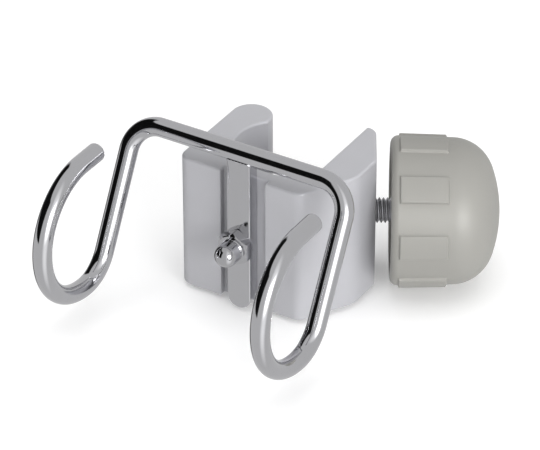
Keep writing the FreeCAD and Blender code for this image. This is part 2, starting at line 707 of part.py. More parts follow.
def make_cap_nut():
    """Cap nut on the bar: hexagon with a chamfered front, dome and blind hole."""
    body = new_body("cap_nut")
    face_forward(body, "bar_front", "nut_turn")
    flats = new_sketch(body, "nut_hexagon")
    hexagon(flats, "nut_flats")
    pad(body, flats, "nut_hex_height")
    bevel = new_sketch(body, "nut_bevel", "XZ_Plane")
    inner = "nut_face_diameter / 2"
    outer = "nut_flats / sqrt(3) + cut_over"
    outline(bevel, [
        (inner, "nut_hex_height"),
        (outer, "nut_hex_height - (%s - %s) * tan(30deg)" % (outer, inner)),
        (outer, "nut_hex_height + cut_over"),
        (inner, "nut_hex_height + cut_over"),
    ])
    turned(body, bevel, "V_Axis", cut=True)
    dome = new_sketch(body, "nut_dome", "XZ_Plane")
    dome_radius = "nut_dome_diameter / 2"
    profile(dome, ("0", "nut_hex_height / 2"), [
        ((dome_radius, "nut_hex_height / 2"),),
        ((dome_radius, "nut_height - nut_dome_diameter / 2"),),
        (("0", "nut_height"), ("0", "nut_height - nut_dome_diameter / 2"), 1),
        (("0", "nut_hex_height / 2"),),
    ])
    turned(body, dome, "V_Axis")
    hole = new_sketch(body, "nut_hole")
    round_outline(hole, ("0", "0"), "bolt_diameter / 2 + nut_thread_clearance")
    pocket(body, hole, "nut_hole_depth", back=True)
    return body


# ---------------------------------------------------------------------------------------------
# Clamp screw: spindle, pressure button, snap ring and knob
# ---------------------------------------------------------------------------------------------


def make_spindle():
    """M8 spindle on the screw axis, with its head in the knob and a bore for the button."""
    body = new_body("clamp_spindle")
    on_screw_axis(body, "0")
    side = new_sketch(body, "spindle_side", "XZ_Plane")
    bore = "tip_bore_diameter / 2"
    groove = "ring_middle + ring_wire / 2"
    groove_start = "spindle_reach + ring_setback - ring_wire / 2 - ring_clearance"
    groove_end = "spindle_reach + ring_setback + ring_wire / 2 + ring_clearance"
    profile(side, (bore, "spindle_reach"), [
        (("spindle_diameter / 2 - spindle_end_chamfer", "spindle_reach"),),
        (("spindle_diameter / 2", "spindle_reach + spindle_end_chamfer"),),
        (("spindle_diameter / 2", "head_start"),),
        (("0", "head_start"),),
        (("0", "spindle_reach + tip_bore_depth + tip_bore_diameter / 4"),),
        ((bore, "spindle_reach + tip_bore_depth"),),
        ((bore, groove_end),),
        ((groove, groove_end),),
        ((groove, groove_start),),
        ((bore, groove_start),),
        ((bore, "spindle_reach"),),
    ])
    turned(body, side, "V_Axis")
    head = new_sketch(body, "spindle_head", lift="head_start")
    hexagon(head, "spindle_head_flats")
    pad(body, head, "spindle_head_height")
    return body


def make_pressure_button():
    """Crowned button that stands still on the tube while the spindle turns behind it."""
    body = new_body("pressure_button")
    on_screw_axis(body, "0")
    side = new_sketch(body, "button_side", "XZ_Plane")
    rim = "button_diameter / 2"
    stem = "button_stem_diameter / 2"
    neck = "ring_middle - ring_wire / 2 - ring_clearance"
    neck_start = "spindle_reach + ring_setback - ring_wire / 2 - ring_clearance"
    neck_end = "spindle_reach + ring_setback + ring_wire / 2 + ring_clearance"
    profile(side, ("0", "button_face"), [
        ((rim, "button_face + button_crown"), ("0", "button_face + crown_radius"), 1),
        ((rim, "button_back"),),
        ((stem, "button_back"),),
        ((stem, neck_start),),
        ((neck, neck_start),),
        ((neck, neck_end),),
        ((stem, neck_end),),
        ((stem, "button_back + button_stem_length"),),
        (("0", "button_back + button_stem_length"),),
        (("0", "button_face"),),
    ])
    turned(body, side, "V_Axis")
    return body


def make_snap_ring():
    """Open snap ring that keeps the button in the spindle."""
    ring = doc.addObject("Part::Torus", "snap_ring")
    ring.Label = "snap_ring"
    bind(ring, Radius1=sized("ring_middle"), Radius2=sized("ring_wire / 2"),
         Angle3=sized("360 - ring_opening"))
    on_screw_axis(ring, "(spindle_reach + ring_setback)")
    NODES.append(ring)
    doc.recompute()
    return ring


def make_knob():
    """Moulded knob with a recessed ribbed back, a hub, a domed end and raised grip pads."""
    body = new_body("knob")
    on_screw_axis(body, "knob_back")
    side = new_sketch(body, "knob_side", "XZ_Plane")
    inner = "knob_radius - knob_wall"
    profile(side, ("0", "hub_setback"), [
        (("hub_radius", "hub_setback"),),
        (("hub_radius", "knob_hollow_depth"),),
        ((inner, "knob_hollow_depth"),),
        ((inner, "0"),),
        (("knob_radius - knob_rim_radius", "0"),),
        (("knob_radius", "knob_rim_radius"), ("knob_radius - knob_rim_radius", "knob_rim_radius"), 1),
        (("knob_front_radius", "dome_start"),),
        (("dome_meet_across", "dome_meet_along"), ("knob_front_radius - knob_dome_radius", "dome_start"), 1),
        (("0", "knob_length"), ("0", "knob_length - knob_crown_radius"), 1),
        (("0", "hub_setback"),),
    ])
    turned(body, side, "V_Axis")

    rib = new_sketch(body, "knob_rib", lift="rib_setback")
    outline(rib, [
        ("hub_radius - rib_thickness", "-rib_thickness / 2"),
        ("knob_radius - knob_wall + rib_thickness / 2", "-rib_thickness / 2"),
        ("knob_radius - knob_wall + rib_thickness / 2", "rib_thickness / 2"),
        ("hub_radius - rib_thickness", "rib_thickness / 2"),
    ])
    web = pad(body, rib, "knob_hollow_depth - rib_setback + rib_thickness / 2")
    polar(body, [web], (rib, ["N_Axis"]), "rib_count", "knob_ribs")

    grip = new_sketch(body, "knob_grip", "XZ_Plane")
    outline(grip, [
        ("knob_front_radius - knob_rim_radius", "pad_start"),
        ("knob_radius + pad_rise", "pad_start"),
        ("knob_front_radius + pad_rise", "pad_start + pad_length"),
        ("knob_front_radius - knob_rim_radius", "pad_start + pad_length"),
    ])
    grip.AttachmentOffset = Placement(Vector(0, 0, 0), Rotation(Vector(0, 1, 0), -value("pad_turn")))
    raised = body.newObject("PartDesign::Revolution", "knob_grip_turned")
    raised.Profile = grip
    raised.ReferenceAxis = (grip, ["V_Axis"])
    raised.Midplane = True
    raised.setExpression("Angle", sized("pad_arc"))
    doc.recompute()
    polar(body, [raised], (rib, ["N_Axis"]), "pad_count", "knob_grip_pads")

    bore = new_sketch(body, "knob_bore")
    round_outline(bore, ("0", "0"), "spindle_diameter / 2")
    pocket(body, bore, "head_start - knob_back", back=True)
    head = new_sketch(body, "knob_head_space", lift="head_start - knob_back")
    hexagon(head, "spindle_head_flats")
    pocket(body, head, "spindle_head_height", back=True)
    return body


# ---------------------------------------------------------------------------------------------
# Build, check and write
# ---------------------------------------------------------------------------------------------

make_clamp_body()
make_mounting_bar()
make_hook_wire()
make_hook_weld()
make_bolt()
make_cap_nut()
make_spindle()
make_pressure_button()
make_snap_ring()
make_knob()
doc.recompute()

for item in doc.Objects:
    if {"Invalid", "Error"} & set(item.State):
        raise RuntimeError("%s failed: %s" % (item.Label, item.State))
for node in NODES:
    if node.Shape.isNull() or not node.Shape.isValid() or not node.Shape.Solids:
        raise RuntimeError("%s has no valid solid" % node.Label)

os.makedirs("parts", exist_ok=True)
for node in NODES:
    node.Shape.exportStep("parts/%s.step" % node.Label)
    print("%-20s %9.1f mm3" % (node.Label, node.Shape.Volume))
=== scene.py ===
"""Looks of a clamp-on double hook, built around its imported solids.

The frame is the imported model's own: metres, +Z up along the clamped tube, -Y forward to the side
that the hooks reach to, and the screw axis level, leaving the origin between +X and +Y.
"""
import json
import logging
import math
from dataclasses import dataclass, field
from enum import Enum
from typing import Any, Optional, Sequence, Union

import bpy
import numpy as np
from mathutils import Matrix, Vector


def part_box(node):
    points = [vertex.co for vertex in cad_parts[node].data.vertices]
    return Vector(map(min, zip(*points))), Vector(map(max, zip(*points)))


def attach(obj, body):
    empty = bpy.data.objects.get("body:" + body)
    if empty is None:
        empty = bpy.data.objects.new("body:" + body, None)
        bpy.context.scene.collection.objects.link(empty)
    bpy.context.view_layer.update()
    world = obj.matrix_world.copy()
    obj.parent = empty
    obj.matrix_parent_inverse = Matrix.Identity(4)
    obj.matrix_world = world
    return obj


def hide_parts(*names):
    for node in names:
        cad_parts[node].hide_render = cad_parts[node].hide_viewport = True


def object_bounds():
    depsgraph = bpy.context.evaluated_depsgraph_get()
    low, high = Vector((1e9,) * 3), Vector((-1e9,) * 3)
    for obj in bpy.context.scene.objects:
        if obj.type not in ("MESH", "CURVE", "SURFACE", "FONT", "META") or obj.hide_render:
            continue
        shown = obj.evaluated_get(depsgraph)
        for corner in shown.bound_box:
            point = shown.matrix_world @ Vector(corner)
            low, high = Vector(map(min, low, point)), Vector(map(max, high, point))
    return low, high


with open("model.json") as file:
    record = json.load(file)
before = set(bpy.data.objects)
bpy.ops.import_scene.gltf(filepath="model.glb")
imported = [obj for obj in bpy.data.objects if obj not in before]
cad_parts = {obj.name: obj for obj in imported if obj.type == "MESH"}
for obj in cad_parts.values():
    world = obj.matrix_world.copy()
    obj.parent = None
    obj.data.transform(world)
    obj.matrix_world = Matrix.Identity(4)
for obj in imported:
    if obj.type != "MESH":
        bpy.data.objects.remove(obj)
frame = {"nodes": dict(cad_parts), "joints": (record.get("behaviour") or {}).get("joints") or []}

CAD_BOX = [list(corner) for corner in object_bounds()]
LOG = logging.getLogger("double_hook")
MM = 0.001
TURN = 2.0 * math.pi
Array = np.ndarray


class Body(Enum):
    """The moving bodies that pieces ride on."""

    CLAMP = "clamp"
    BUTTON = "button"
    SCREW = "screw"


# ---------------------------------------------------------------------------------------------
# Surfaces
# ---------------------------------------------------------------------------------------------


def unit(vectors: Array) -> Array:
    """Vectors scaled to length one along their last axis."""
    return vectors / np.linalg.norm(vectors, axis=-1, keepdims=True)


def grid_faces(rows: int, columns: int, wrap: bool) -> Array:
    """Quads of a grid of points that are numbered row by row.

    Args:
        rows: how many rows of points there are.
        columns: how many points each row has.
        wrap: whether the last column joins the first.

    Returns:
        One row of four point numbers for each quad.
    """
    row, column = np.meshgrid(np.arange(rows - 1), np.arange(columns if wrap else columns - 1),
                              indexing="ij")
    following = (column + 1) % columns
    corners = (row * columns + column, row * columns + following,
               (row + 1) * columns + following, (row + 1) * columns + column)
    return np.stack(corners, axis=-1).reshape(-1, 4)


def make_object(name: str, points: Array, faces: Sequence[Sequence[int]], sharp: float) -> bpy.types.Object:
    """A smooth-shaded mesh object at the origin.

    Args:
        name: the piece's name.
        points: N by 3 points, in metres.
        faces: point numbers of each face.
        sharp: edges that turn by more than this many degrees stay sharp.

    Returns:
        The new object, linked to the scene.
    """
    mesh = bpy.data.meshes.new(name)
    mesh.from_pydata(points.tolist(), [], [tuple(face) for face in faces])
    mesh.validate()
    mesh.shade_smooth()
    mesh.set_sharp_from_angle(angle=math.radians(sharp))
    mesh.update()
    piece = bpy.data.objects.new(name, mesh)
    bpy.context.scene.collection.objects.link(piece)
    return piece


def closed_grid(name: str, rings: Array, sharp: float = 30.0, flip: bool = False) -> bpy.types.Object:
    """A closed surface from a stack of closed rings; the first and last are capped by a fan.

    Args:
        name: the piece's name.
        rings: rows by columns by 3 points, each row a closed ring.
        sharp: edges that turn by more than this many degrees stay sharp.
        flip: whether the rings run the other way round.

    Returns:
        The new object.
    """
    if flip:
        rings = rings[:, ::-1]
    rows, columns = rings.shape[:2]
    points = np.concatenate([rings.reshape(-1, 3), rings[:1].mean(axis=1), rings[-1:].mean(axis=1)])
    first, last = rows * columns, rows * columns + 1
    around = np.arange(columns)
    following = (around + 1) % columns
    start = np.stack([np.full(columns, first), following, around], axis=-1)
    base = (rows - 1) * columns
    end = np.stack([np.full(columns, last), base + around, base + following], axis=-1)
    faces = grid_faces(rows, columns, wrap=True).tolist() + start.tolist() + end.tolist()
    return make_object(name, points, faces, sharp)


@dataclass(frozen=True)
class Axes:
    """A piece's own axes in the frame: where its origin is, and which way its axes point."""

    origin: tuple[float, float, float]
    across: tuple[float, float, float]
    up: tuple[float, float, float]
    along: tuple[float, float, float]

    def place(self, x: Array, y: Array, z: Array) -> Array:
        """Points of the frame: origin + x * across + y * up + z * along, all in metres."""
        arms = [np.asarray(arm) for arm in (self.across, self.up, self.along)]
        return (np.asarray(self.origin) + x[..., None] * arms[0] + y[..., None] * arms[1]
                + z[..., None] * arms[2])


def arc(centre: tuple[float, float], radius: float, first: float, last: float, steps: int) -> Array:
    """Points on a flat arc: centre + radius * (cos a, sin a), for a from first to last in degrees."""
    angle = np.radians(np.linspace(first, last, steps + 1))
    return np.stack([centre[0] + radius * np.cos(angle), centre[1] + radius * np.sin(angle)], axis=-1)


def rounded(corners: Sequence[tuple[float, float, float]], steps: int = 6) -> Array:
    """A closed outline whose corners are rounded by arcs tangent to both edges.

    The arc at a corner starts radius / tan(half the corner's angle) before it, and its centre
    lies on the corner's bisector at radius / sin(half the angle).

    Args:
        corners: x, y and radius of each corner.
        steps: how many pieces each arc has.

    Returns:
        N by 2 points.
    """
    pieces = []
    count = len(corners)
    for number in range(count):
        here = np.array(corners[number][:2])
        radius = corners[number][2]
        if radius <= 0.0:
            pieces.append(here[None])
            continue
        back = unit(np.array(corners[number - 1][:2]) - here)
        ahead = unit(np.array(corners[(number + 1) % count][:2]) - here)
        half = math.acos(float(np.clip(back @ ahead, -1, 1))) / 2
        centre = here + unit(back + ahead) * radius / math.sin(half)
        first = here + back * radius / math.tan(half) - centre
        last = here + ahead * radius / math.tan(half) - centre
        start = math.atan2(first[1], first[0])
        sweep = (math.atan2(last[1], last[0]) - start + math.pi) % TURN - math.pi
        angle = start + sweep * np.linspace(0, 1, steps + 1)
        pieces.append(centre + radius * np.stack([np.cos(angle), np.sin(angle)], axis=-1))
    return np.concatenate(pieces)


def turned(name: str, axes: Axes, profile: Array, columns: int) -> bpy.types.Object:
    """A surface of revolution: each profile point (radius, along) sweeps a circle about the axis.

    Args:
        name: the piece's name.
        axes: the piece's axes; along is the axis of revolution.
        profile: N by 2 points of radius and distance along, from one end of the axis to the other.
        columns: points in each circle.

    Returns:
        The new object.
    """
    angle = np.linspace(0, TURN, columns, endpoint=False)
    radius, along = profile[:, 0][:, None], profile[:, 1][:, None]
    rings = axes.place(radius * np.cos(angle), radius * np.sin(angle), along + 0 * angle)
    return closed_grid(name, rings)


def hexagon_radius(angle: Array, flats: float, rounding: float) -> Array:
    """Distance to a hexagon's side at an angle, with the corners softened.

    The six flats are six half planes at flats / 2; their distances along the angle are joined by
    a power mean, so the corner is rounded by about the rounding.

    Args:
        angle: angles in radians, with a corner at 0.
        flats: width across the flats.
        rounding: how much the corner is cut back.

    Returns:
        The radius at each angle.
    """
    power = max(4.0, 1.3 * flats / rounding)
    shares = [np.maximum(np.cos(angle - math.radians(30 + 60 * side)), 0.0) ** power for side in range(6)]
    return flats / 2 / np.sum(shares, axis=0) ** (1 / power)


# ---------------------------------------------------------------------------------------------
# Shader maths
# ---------------------------------------------------------------------------------------------

Value = Union["Wire", float]


class Wire:
    """A socket that takes part in arithmetic; each operator adds one Math node."""

    def __init__(self, paint: "Paint", socket: Any) -> None:
        """Keep the socket and the node tree's painter."""
        self.paint = paint
        self.socket = socket

    def _math(self, operation: str, *values: Value) -> "Wire":
        """A Math node of an operation on values."""
        return self.paint.node("ShaderNodeMath", {"operation": operation}, *values)

    def __add__(self, other: Value) -> "Wire":
        """self + other."""
        return self._math("ADD", self, other)

    __radd__ = __add__

    def __mul__(self, other: Value) -> "Wire":
        """self * other."""
        return self._math("MULTIPLY", self, other)

    __rmul__ = __mul__


class Paint:
    """Builds one material's nodes around its Principled shader."""

    def __init__(self, name: str) -> None:
        """Start an empty material with a Principled shader.

        Args:
            name: the material's name.
        """
        self.material = bpy.data.materials.new(name)
        self.material.use_nodes = True
        self.tree = self.material.node_tree
        self.shader = self.tree.nodes["Principled BSDF"]
        place = self.tree.nodes.new("ShaderNodeTexCoord")
        self.place = Wire(self, place.outputs["Object"])

    def node(self, kind: str, settings: dict[str, Any], *values: Any, output: int = 0, **named: Any) -> Wire:
        """Add a node.

        Args:
            kind: the node's type.
            settings: properties that are set before the sockets.
            values: values or wires of its first inputs, in order.
            output: which output to return.
            named: values or wires of inputs by name, with _ for a space.

        Returns:
            The chosen output.
        """
        made = self.tree.nodes.new(kind)
        for key, value in settings.items():
            setattr(made, key, value)
        sockets = [(made.inputs[number], value) for number, value in enumerate(values)]
        sockets += [(made.inputs[key.replace("_", " ")], value) for key, value in named.items()]
        for socket, value in sockets:
            if isinstance(value, Wire):
                self.tree.links.new(value.socket, socket)
            elif value is not None:
                socket.default_value = value
        return Wire(self, made.outputs[output])

    def noise(self, scale: float, detail: float) -> Wire:
        """Noise from 0 to 1 on the piece's own place: features per metre, and octaves."""
        return self.node("ShaderNodeTexNoise", {}, Vector=self.place, Scale=scale, Detail=detail)

    def mix(self, amount: Value, first: Any, second: Any) -> Wire:
        """A colour between two colours."""
        made = self.tree.nodes.new("ShaderNodeMix")
        made.data_type = "RGBA"
        for socket, value in ((made.inputs[0], amount), (made.inputs[6], first), (made.inputs[7], second)):
            if isinstance(value, Wire):
                self.tree.links.new(value.socket, socket)
            else:
                socket.default_value = value
        return Wire(self, made.outputs[2])

    def set(self, **values: Any) -> None:
        """Set or link the shader's sockets by name, with _ for a space."""
        for key, value in values.items():
            socket = self.shader.inputs[key.replace("_", " ")]
            if isinstance(value, Wire):
                self.tree.links.new(value.socket, socket)
            else:
                socket.default_value = value

    def bump(self, height: Wire, distance: float) -> None:
        """Raise the surface by a height from 0 to 1, times a distance in metres."""
        relief = self.node("ShaderNodeBump", {}, Strength=1.0, Distance=distance, Height=height)
        self.set(Normal=relief)


def grey(value: float, blue: float = 0.0) -> tuple[float, float, float, float]:
    """A linear grey whose blue channel is raised by twice the share that blue states."""
    return (value, value, value * (1 + 2 * blue), 1.0)


@dataclass(frozen=True)
class Chrome:
    """Bright plating: a mirror with a very fine polish haze."""

    colour: float = 0.62
    roughness: float = 0.05
    haze: float = 0.03

    def make(self, name: str) -> bpy.types.Material:
        """The plating as a material."""
        paint = Paint(name)
        cloud = paint.noise(220.0, 2.0)
        paint.set(Base_Color=paint.mix(cloud, grey(self.colour * 0.96, 0.012), grey(self.colour, 0.02)),
                  Metallic=1.0, Roughness=cloud * self.haze + self.roughness)
        paint.bump(paint.noise(900.0, 1.0), 0.000004)
        return paint.material


@dataclass(frozen=True)
class Satin:
    """Tumbled plating: a metal with a fine even grain."""

    colour: float
    roughness: float
    relief: float = 0.000012

    def make(self, name: str) -> bpy.types.Material:
        """The plating as a material."""
        paint = Paint(name)
        grain = paint.noise(5200.0, 2.0)
        cloud = paint.noise(160.0, 3.0)
        paint.set(Base_Color=paint.mix(grain * 0.5 + cloud * 0.5, grey(self.colour * 0.88, 0.02),
                                       grey(self.colour * 1.1, 0.02)),
                  Metallic=1.0, Roughness=grain * 0.12 + cloud * 0.06 + (self.roughness - 0.09))
        paint.bump(grain, self.relief)
        return paint.material


@dataclass(frozen=True)
class Coating:
    """Satin coating on a cast body, with a fine orange peel under a thin gloss."""

    colour: float = 0.43
    roughness: float = 0.38
    peel: float = 0.00002

    def make(self, name: str) -> bpy.types.Material:
        """The coating as a material."""
        paint = Paint(name)
        cloud = paint.noise(90.0, 3.0)
        fine = paint.noise(1500.0, 2.0)
        base = paint.mix(cloud, grey(self.colour * 0.96, 0.025), grey(self.colour * 1.03, 0.03))
        paint.set(Base_Color=base, Metallic=0.0, Roughness=fine * 0.1 + (self.roughness - 0.05))
        paint.set(Coat_Weight=0.12, Coat_Roughness=0.28)
        paint.bump(fine * 0.7 + paint.noise(420.0, 2.0) * 0.3, self.peel)
        return paint.material


@dataclass(frozen=True)
class Moulding:
    """Moulded plastic with a fine eroded texture and a soft gloss."""

    colour: tuple[float, float, float] = (0.285, 0.28, 0.26)
    roughness: float = 0.42
    relief: float = 0.00003

    def make(self, name: str) -> bpy.types.Material:
        """The plastic as a material."""
        paint = Paint(name)
        cloud = paint.noise(60.0, 3.0)
        fine = paint.noise(2600.0, 2.0)
        low = (*[part * 0.96 for part in self.colour], 1.0)
        high = (*[part * 1.04 for part in self.colour], 1.0)
        paint.set(Base_Color=paint.mix(cloud, low, high), Metallic=0.0,
                  Roughness=fine * 0.14 + (self.roughness - 0.07))
        paint.bump(fine * 0.6 + paint.noise(900.0, 2.0) * 0.4, self.relief)
        return paint.material


# ---------------------------------------------------------------------------------------------
# Places shared by the pieces
# ---------------------------------------------------------------------------------------------


def node_span(node: str) -> tuple[Array, Array]:
    """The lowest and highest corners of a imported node, as arrays in metres."""
    low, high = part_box(node)
    return np.array(low), np.array(high)


def node_points(node: str) -> Array:
    """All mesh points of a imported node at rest, in metres."""
    mesh = frame["nodes"][node].data
    points = np.zeros(len(mesh.vertices) * 3, np.float32)
    mesh.vertices.foreach_get("co", points)
    return points.reshape(-1, 3).astype(float)


def joint(name: str) -> dict[str, Any]:
    """One of the frame's joints by its name."""
    return next(entry for entry in frame["joints"] if entry["name"] == name)


def screw_axes(along: float) -> Axes:
    """Axes on the screw axis: along points to the knob, up is up, at a distance from the origin."""
    inward = np.array(joint("screw_turn")["axis"], float)
    outward = -inward / np.linalg.norm(inward)
    up = np.array([0.0, 0.0, 1.0])
    return Axes(tuple(outward * along), tuple(np.cross(up, outward)), tuple(up), tuple(outward))


def screw_span(node: str) -> tuple[float, float]:
    """Where a node on the screw axis starts and ends along it, in metres from the origin."""
    outward = np.array(screw_axes(0.0).along)
    along = node_points(node) @ outward
    return float(along.min()), float(along.max())


def finish_piece(piece: bpy.types.Object, material: bpy.types.Material, body: Body, slot: str,
                 *nodes: str) -> bpy.types.Object:
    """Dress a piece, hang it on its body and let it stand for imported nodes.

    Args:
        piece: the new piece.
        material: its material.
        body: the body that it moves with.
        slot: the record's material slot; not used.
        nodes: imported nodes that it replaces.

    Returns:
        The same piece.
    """
    piece.data.materials.append(material)
    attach(piece, body.value)
    if nodes:
        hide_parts(*nodes)
    LOG.info("%s: %d faces on body %s", piece.name, len(piece.data.polygons), body.value)
    return piece


# ---------------------------------------------------------------------------------------------
# Hook wire, weld and bar
# ---------------------------------------------------------------------------------------------


@dataclass
class HookFrame:
    """Bent wire with two open hooks, the bar that carries it and the weld between them."""

    wire_radius: float = 3.0 * MM
    skin: float = 0.012 * MM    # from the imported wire's surface in to the drawn one
    spacing: float = 75.8 * MM
    shoulder: float = 9.5 * MM
    lean: float = math.radians(27.5)
    hook_radius: float = 21.9 * MM
    heel_radius: float = 12.4 * MM
    tip: float = 9.0 * MM
    tip_edge: float = 1.0 * MM
    bar_width: float = 8.2 * MM
    bar_edge: float = 0.5 * MM
    weld_rise: float = 0.3 * MM
    step: float = 0.4 * MM
    cope_gap: float = 0.05 * MM
    bead_gap: float = 0.1 * MM
    bead_corner: float = 0.9 * MM
    bead_ripples: int = 22
    chrome: Chrome = field(default_factory=Chrome)
    polish: Chrome = field(default_factory=lambda: Chrome(colour=0.6, roughness=0.08, haze=0.05))

    def middle(self) -> Array:
        """The crossbar's middle: half way between the hooks, a wire radius below the highest point."""
        low, high = node_span("hook_wire")
        return np.array([(low[0] + high[0]) / 2, high[1] - self.wire_radius, high[2] - self.wire_radius])

    def half_route(self) -> Array:
        """The wire's middle line from the crossbar's middle to a hook's end, about that middle.

        Straight crossbar, shoulder arc in the leaning plane, straight leg, heel arc and hook arc
        in the upright plane of the hook, and a straight level end.

        Returns:
            N by 3 points, evenly dense.
        """
        half = self.spacing / 2
        sin, cos = math.sin(self.lean), math.cos(self.lean)
        deep = 2 * self.hook_radius - self.heel_radius
        hook_y = -(self.heel_radius + deep * sin) / cos
        leg = deep * cos - hook_y * sin
        down = np.array([0.0, -sin, -cos])

        bend = np.linspace(0, math.pi / 2, max(8, int(self.shoulder * math.pi / 2 / self.step)))
        shoulder = (np.array([half - self.shoulder, 0, 0]) + self.shoulder * np.sin(bend)[:, None] * [1, 0, 0]
                    + (self.shoulder * (1 - np.cos(bend)))[:, None] * down)
        heel_end = leg * down
        normal = np.array([0.0, -cos, sin])
        heel_centre = heel_end + self.heel_radius * normal
        first = math.atan2(-normal[2], -normal[1])
        heel_angle = np.linspace(first, -math.pi / 2, max(8, int(self.heel_radius * 1.2 / self.step)))
        heel = self._bend(half, heel_centre, self.heel_radius, heel_angle)
        hook_centre = np.array([0.0, hook_y, -self.hook_radius])
        hook_angle = np.linspace(-math.pi / 2, -3 * math.pi / 2, int(self.hook_radius * math.pi / self.step))
        hook = self._bend(half, hook_centre, self.hook_radius, hook_angle)
        end = np.linspace(0, self.tip - self.tip_edge, 16)[1:]
        tip = np.stack([np.full(15, half), hook_y + end, np.zeros(15)], axis=-1)
        start = np.linspace(0, half - self.shoulder, 60)[:-1]
        crossbar = np.stack([start, 0 * start, 0 * start], axis=-1)
        leg_share = np.linspace(0, 1, 50)[1:-1, None]
        leg_line = shoulder[-1] + leg_share * (np.array([half, 0, 0]) + heel_end - shoulder[-1])
        return np.concatenate([crossbar, shoulder, leg_line, heel, hook[1:], tip])

    @staticmethod
    def _bend(x: float, centre: Array, radius: float, angle: Array) -> Array:
        """Points of an arc in an upright plane: centre + radius * (cos a along Y, sin a along Z)."""
        return np.stack([np.full(len(angle), x), centre[1] + radius * np.cos(angle),
                         centre[2] + radius * np.sin(angle)], axis=-1)

    def wire(self) -> bpy.types.Object:
        """Circle carried along the route without twist; each end closes over a rounded rim."""
        half = self.half_route()
        route = np.concatenate([half[:0:-1] * [-1, 1, 1], half]) + self.middle()
        tangent = unit(np.gradient(route, axis=0))
        across = self._no_twist(tangent)
        other = np.cross(tangent, across)
        angle = np.linspace(0, TURN, 48, endpoint=False)
        cos, sin = np.cos(angle)[None, :, None], np.sin(angle)[None, :, None]
        circle = cos * across[:, None] + sin * other[:, None]
        rings = route[:, None] + (self.wire_radius - self.skin) * circle
        turn = np.linspace(0, math.pi / 2, 9)[1:]
        radius = self.wire_radius - self.skin - self.tip_edge * (1 - np.cos(turn))
        radius = np.append(radius, radius[-1] * np.array([0.66, 0.33]))
        ahead = np.append(self.tip_edge * np.sin(turn), [self.tip_edge, self.tip_edge])
        last = route[-1] + ahead[:, None, None] * tangent[-1] + radius[:, None, None] * circle[-1]
        first = route[0] - ahead[:, None, None] * tangent[0] + radius[:, None, None] * circle[0]
        return closed_grid("bent_wire", np.concatenate([first[::-1], rings, last]), 60.0, flip=False)

    @staticmethod
    def _no_twist(tangent: Array) -> Array:
        """A direction across the route that turns with it and never about it.

        The route lies in a few planes, so the direction is carried by small steps: the part of
        the last one that is square to the new tangent.
        """
        across = np.zeros_like(tangent)
        across[0] = unit(np.cross(tangent[0], [1.0, 0.0, 0.0]))
        for number in range(1, len(tangent)):
            last = across[number - 1]
            across[number] = unit(last - tangent[number] * (last @ tangent[number]))
        return across

    def bar(self) -> bpy.types.Object:
        """Flat bar: outline with a round foot, its long edges rounded, and a hollowed top end.

        The outline is carried through the thickness, drawn in by 1 - sqrt(1 - t * t) of the edge
        radius near both faces. The top end follows the wire's underside.
        """
        low, high = node_span("mounting_bar")
        middle = self.middle()
        foot = low[2] + self.bar_width / 2
        half = self.bar_width / 2
        centre_x = (low[0] + high[0]) / 2
        thick = high[1] - low[1]
        side = np.linspace(foot, middle[2], 60)[1:]
        top = np.linspace(half, -half, 9)[1:-1]
        round_foot = arc((0.0, foot), half, 180.0, 360.0, 40)
        outline = np.concatenate([round_foot, np.column_stack([np.full_like(side, half), side]),
                                  np.column_stack([top, np.full_like(top, middle[2])]),
                                  np.column_stack([np.full_like(side, -half), side[::-1]])])
        below = np.where(outline[:, 1] < foot, (outline[:, 1] - foot) / half, 0)
        inward = np.column_stack([outline[:, 0] / half, below])
        turn = np.linspace(0, math.pi / 2, 7)
        draw = self.bar_edge * (1 - np.sin(turn))
        level = thick / 2 - self.bar_edge * (1 - np.cos(turn))
        draws = np.concatenate([draw, draw[::-1]])
        levels = np.concatenate([level, -level[::-1]])
        flat = outline[None] - draws[:, None, None] * inward[None]
        y = np.repeat(levels[:, None], len(outline), axis=1)
        reach = np.sqrt(np.maximum((self.wire_radius + self.cope_gap) ** 2 - y ** 2, 0))
        z = np.minimum(flat[..., 1], middle[2] - reach)
        rings = np.stack([centre_x + flat[..., 0], (low[1] + high[1]) / 2 + y, z], axis=-1)
        return closed_grid("flat_bar", rings, 40.0, flip=True)

    def weld(self) -> bpy.types.Object:
        """Weld bead round the bar's end: a small ring section carried round the bar, with ripples.

        The bead's middle line follows the bar's rounded rectangle and rises with the wire's
        underside; its radius swells by a twelfth with each ripple of the weld pool.
        """
        middle = self.middle()
        low, high = node_span("mounting_bar")
        half_x, half_y = self.bar_width / 2, (high[1] - low[1]) / 2
        signs = ((-1, -1), (1, -1), (1, 1), (-1, 1))
        loop = rounded([(x * half_x, y * half_y, self.bead_corner) for x, y in signs], 8)
        loop = np.concatenate([loop, loop[:1]])
        run = np.append(0, np.cumsum(np.linalg.norm(np.diff(loop, axis=0), axis=1)))
        steps, around = 320, 20
        even = np.linspace(0, run[-1], steps, endpoint=False)
        x, y = np.interp(even, run, loop[:, 0]), np.interp(even, run, loop[:, 1])
        z = middle[2] - np.sqrt(np.maximum((self.wire_radius + self.bead_gap) ** 2 - y ** 2, 0))
        route = np.stack([middle[0] + x, middle[1] + y, z], axis=-1)
        tangent = unit(np.roll(route, -1, axis=0) - np.roll(route, 1, axis=0))
        across = unit(np.cross(tangent, [0.0, 0.0, 1.0]))
        other = np.cross(tangent, across)
        ripple = 1 + np.cos(even / run[-1] * TURN * self.bead_ripples) / 12
        angle = np.linspace(0, TURN, around, endpoint=False)
        cos, sin = np.cos(angle)[None, :, None], np.sin(angle)[None, :, None]
        size = (self.weld_rise * ripple)[:, None, None]
        rings = route[:, None] + size * (cos * across[:, None] + sin * other[:, None])
        faces = grid_faces(steps + 1, around, wrap=True) % (steps * around)
        return make_object("weld_bead", rings.reshape(-1, 3), faces[:, ::-1].tolist(), 60.0)

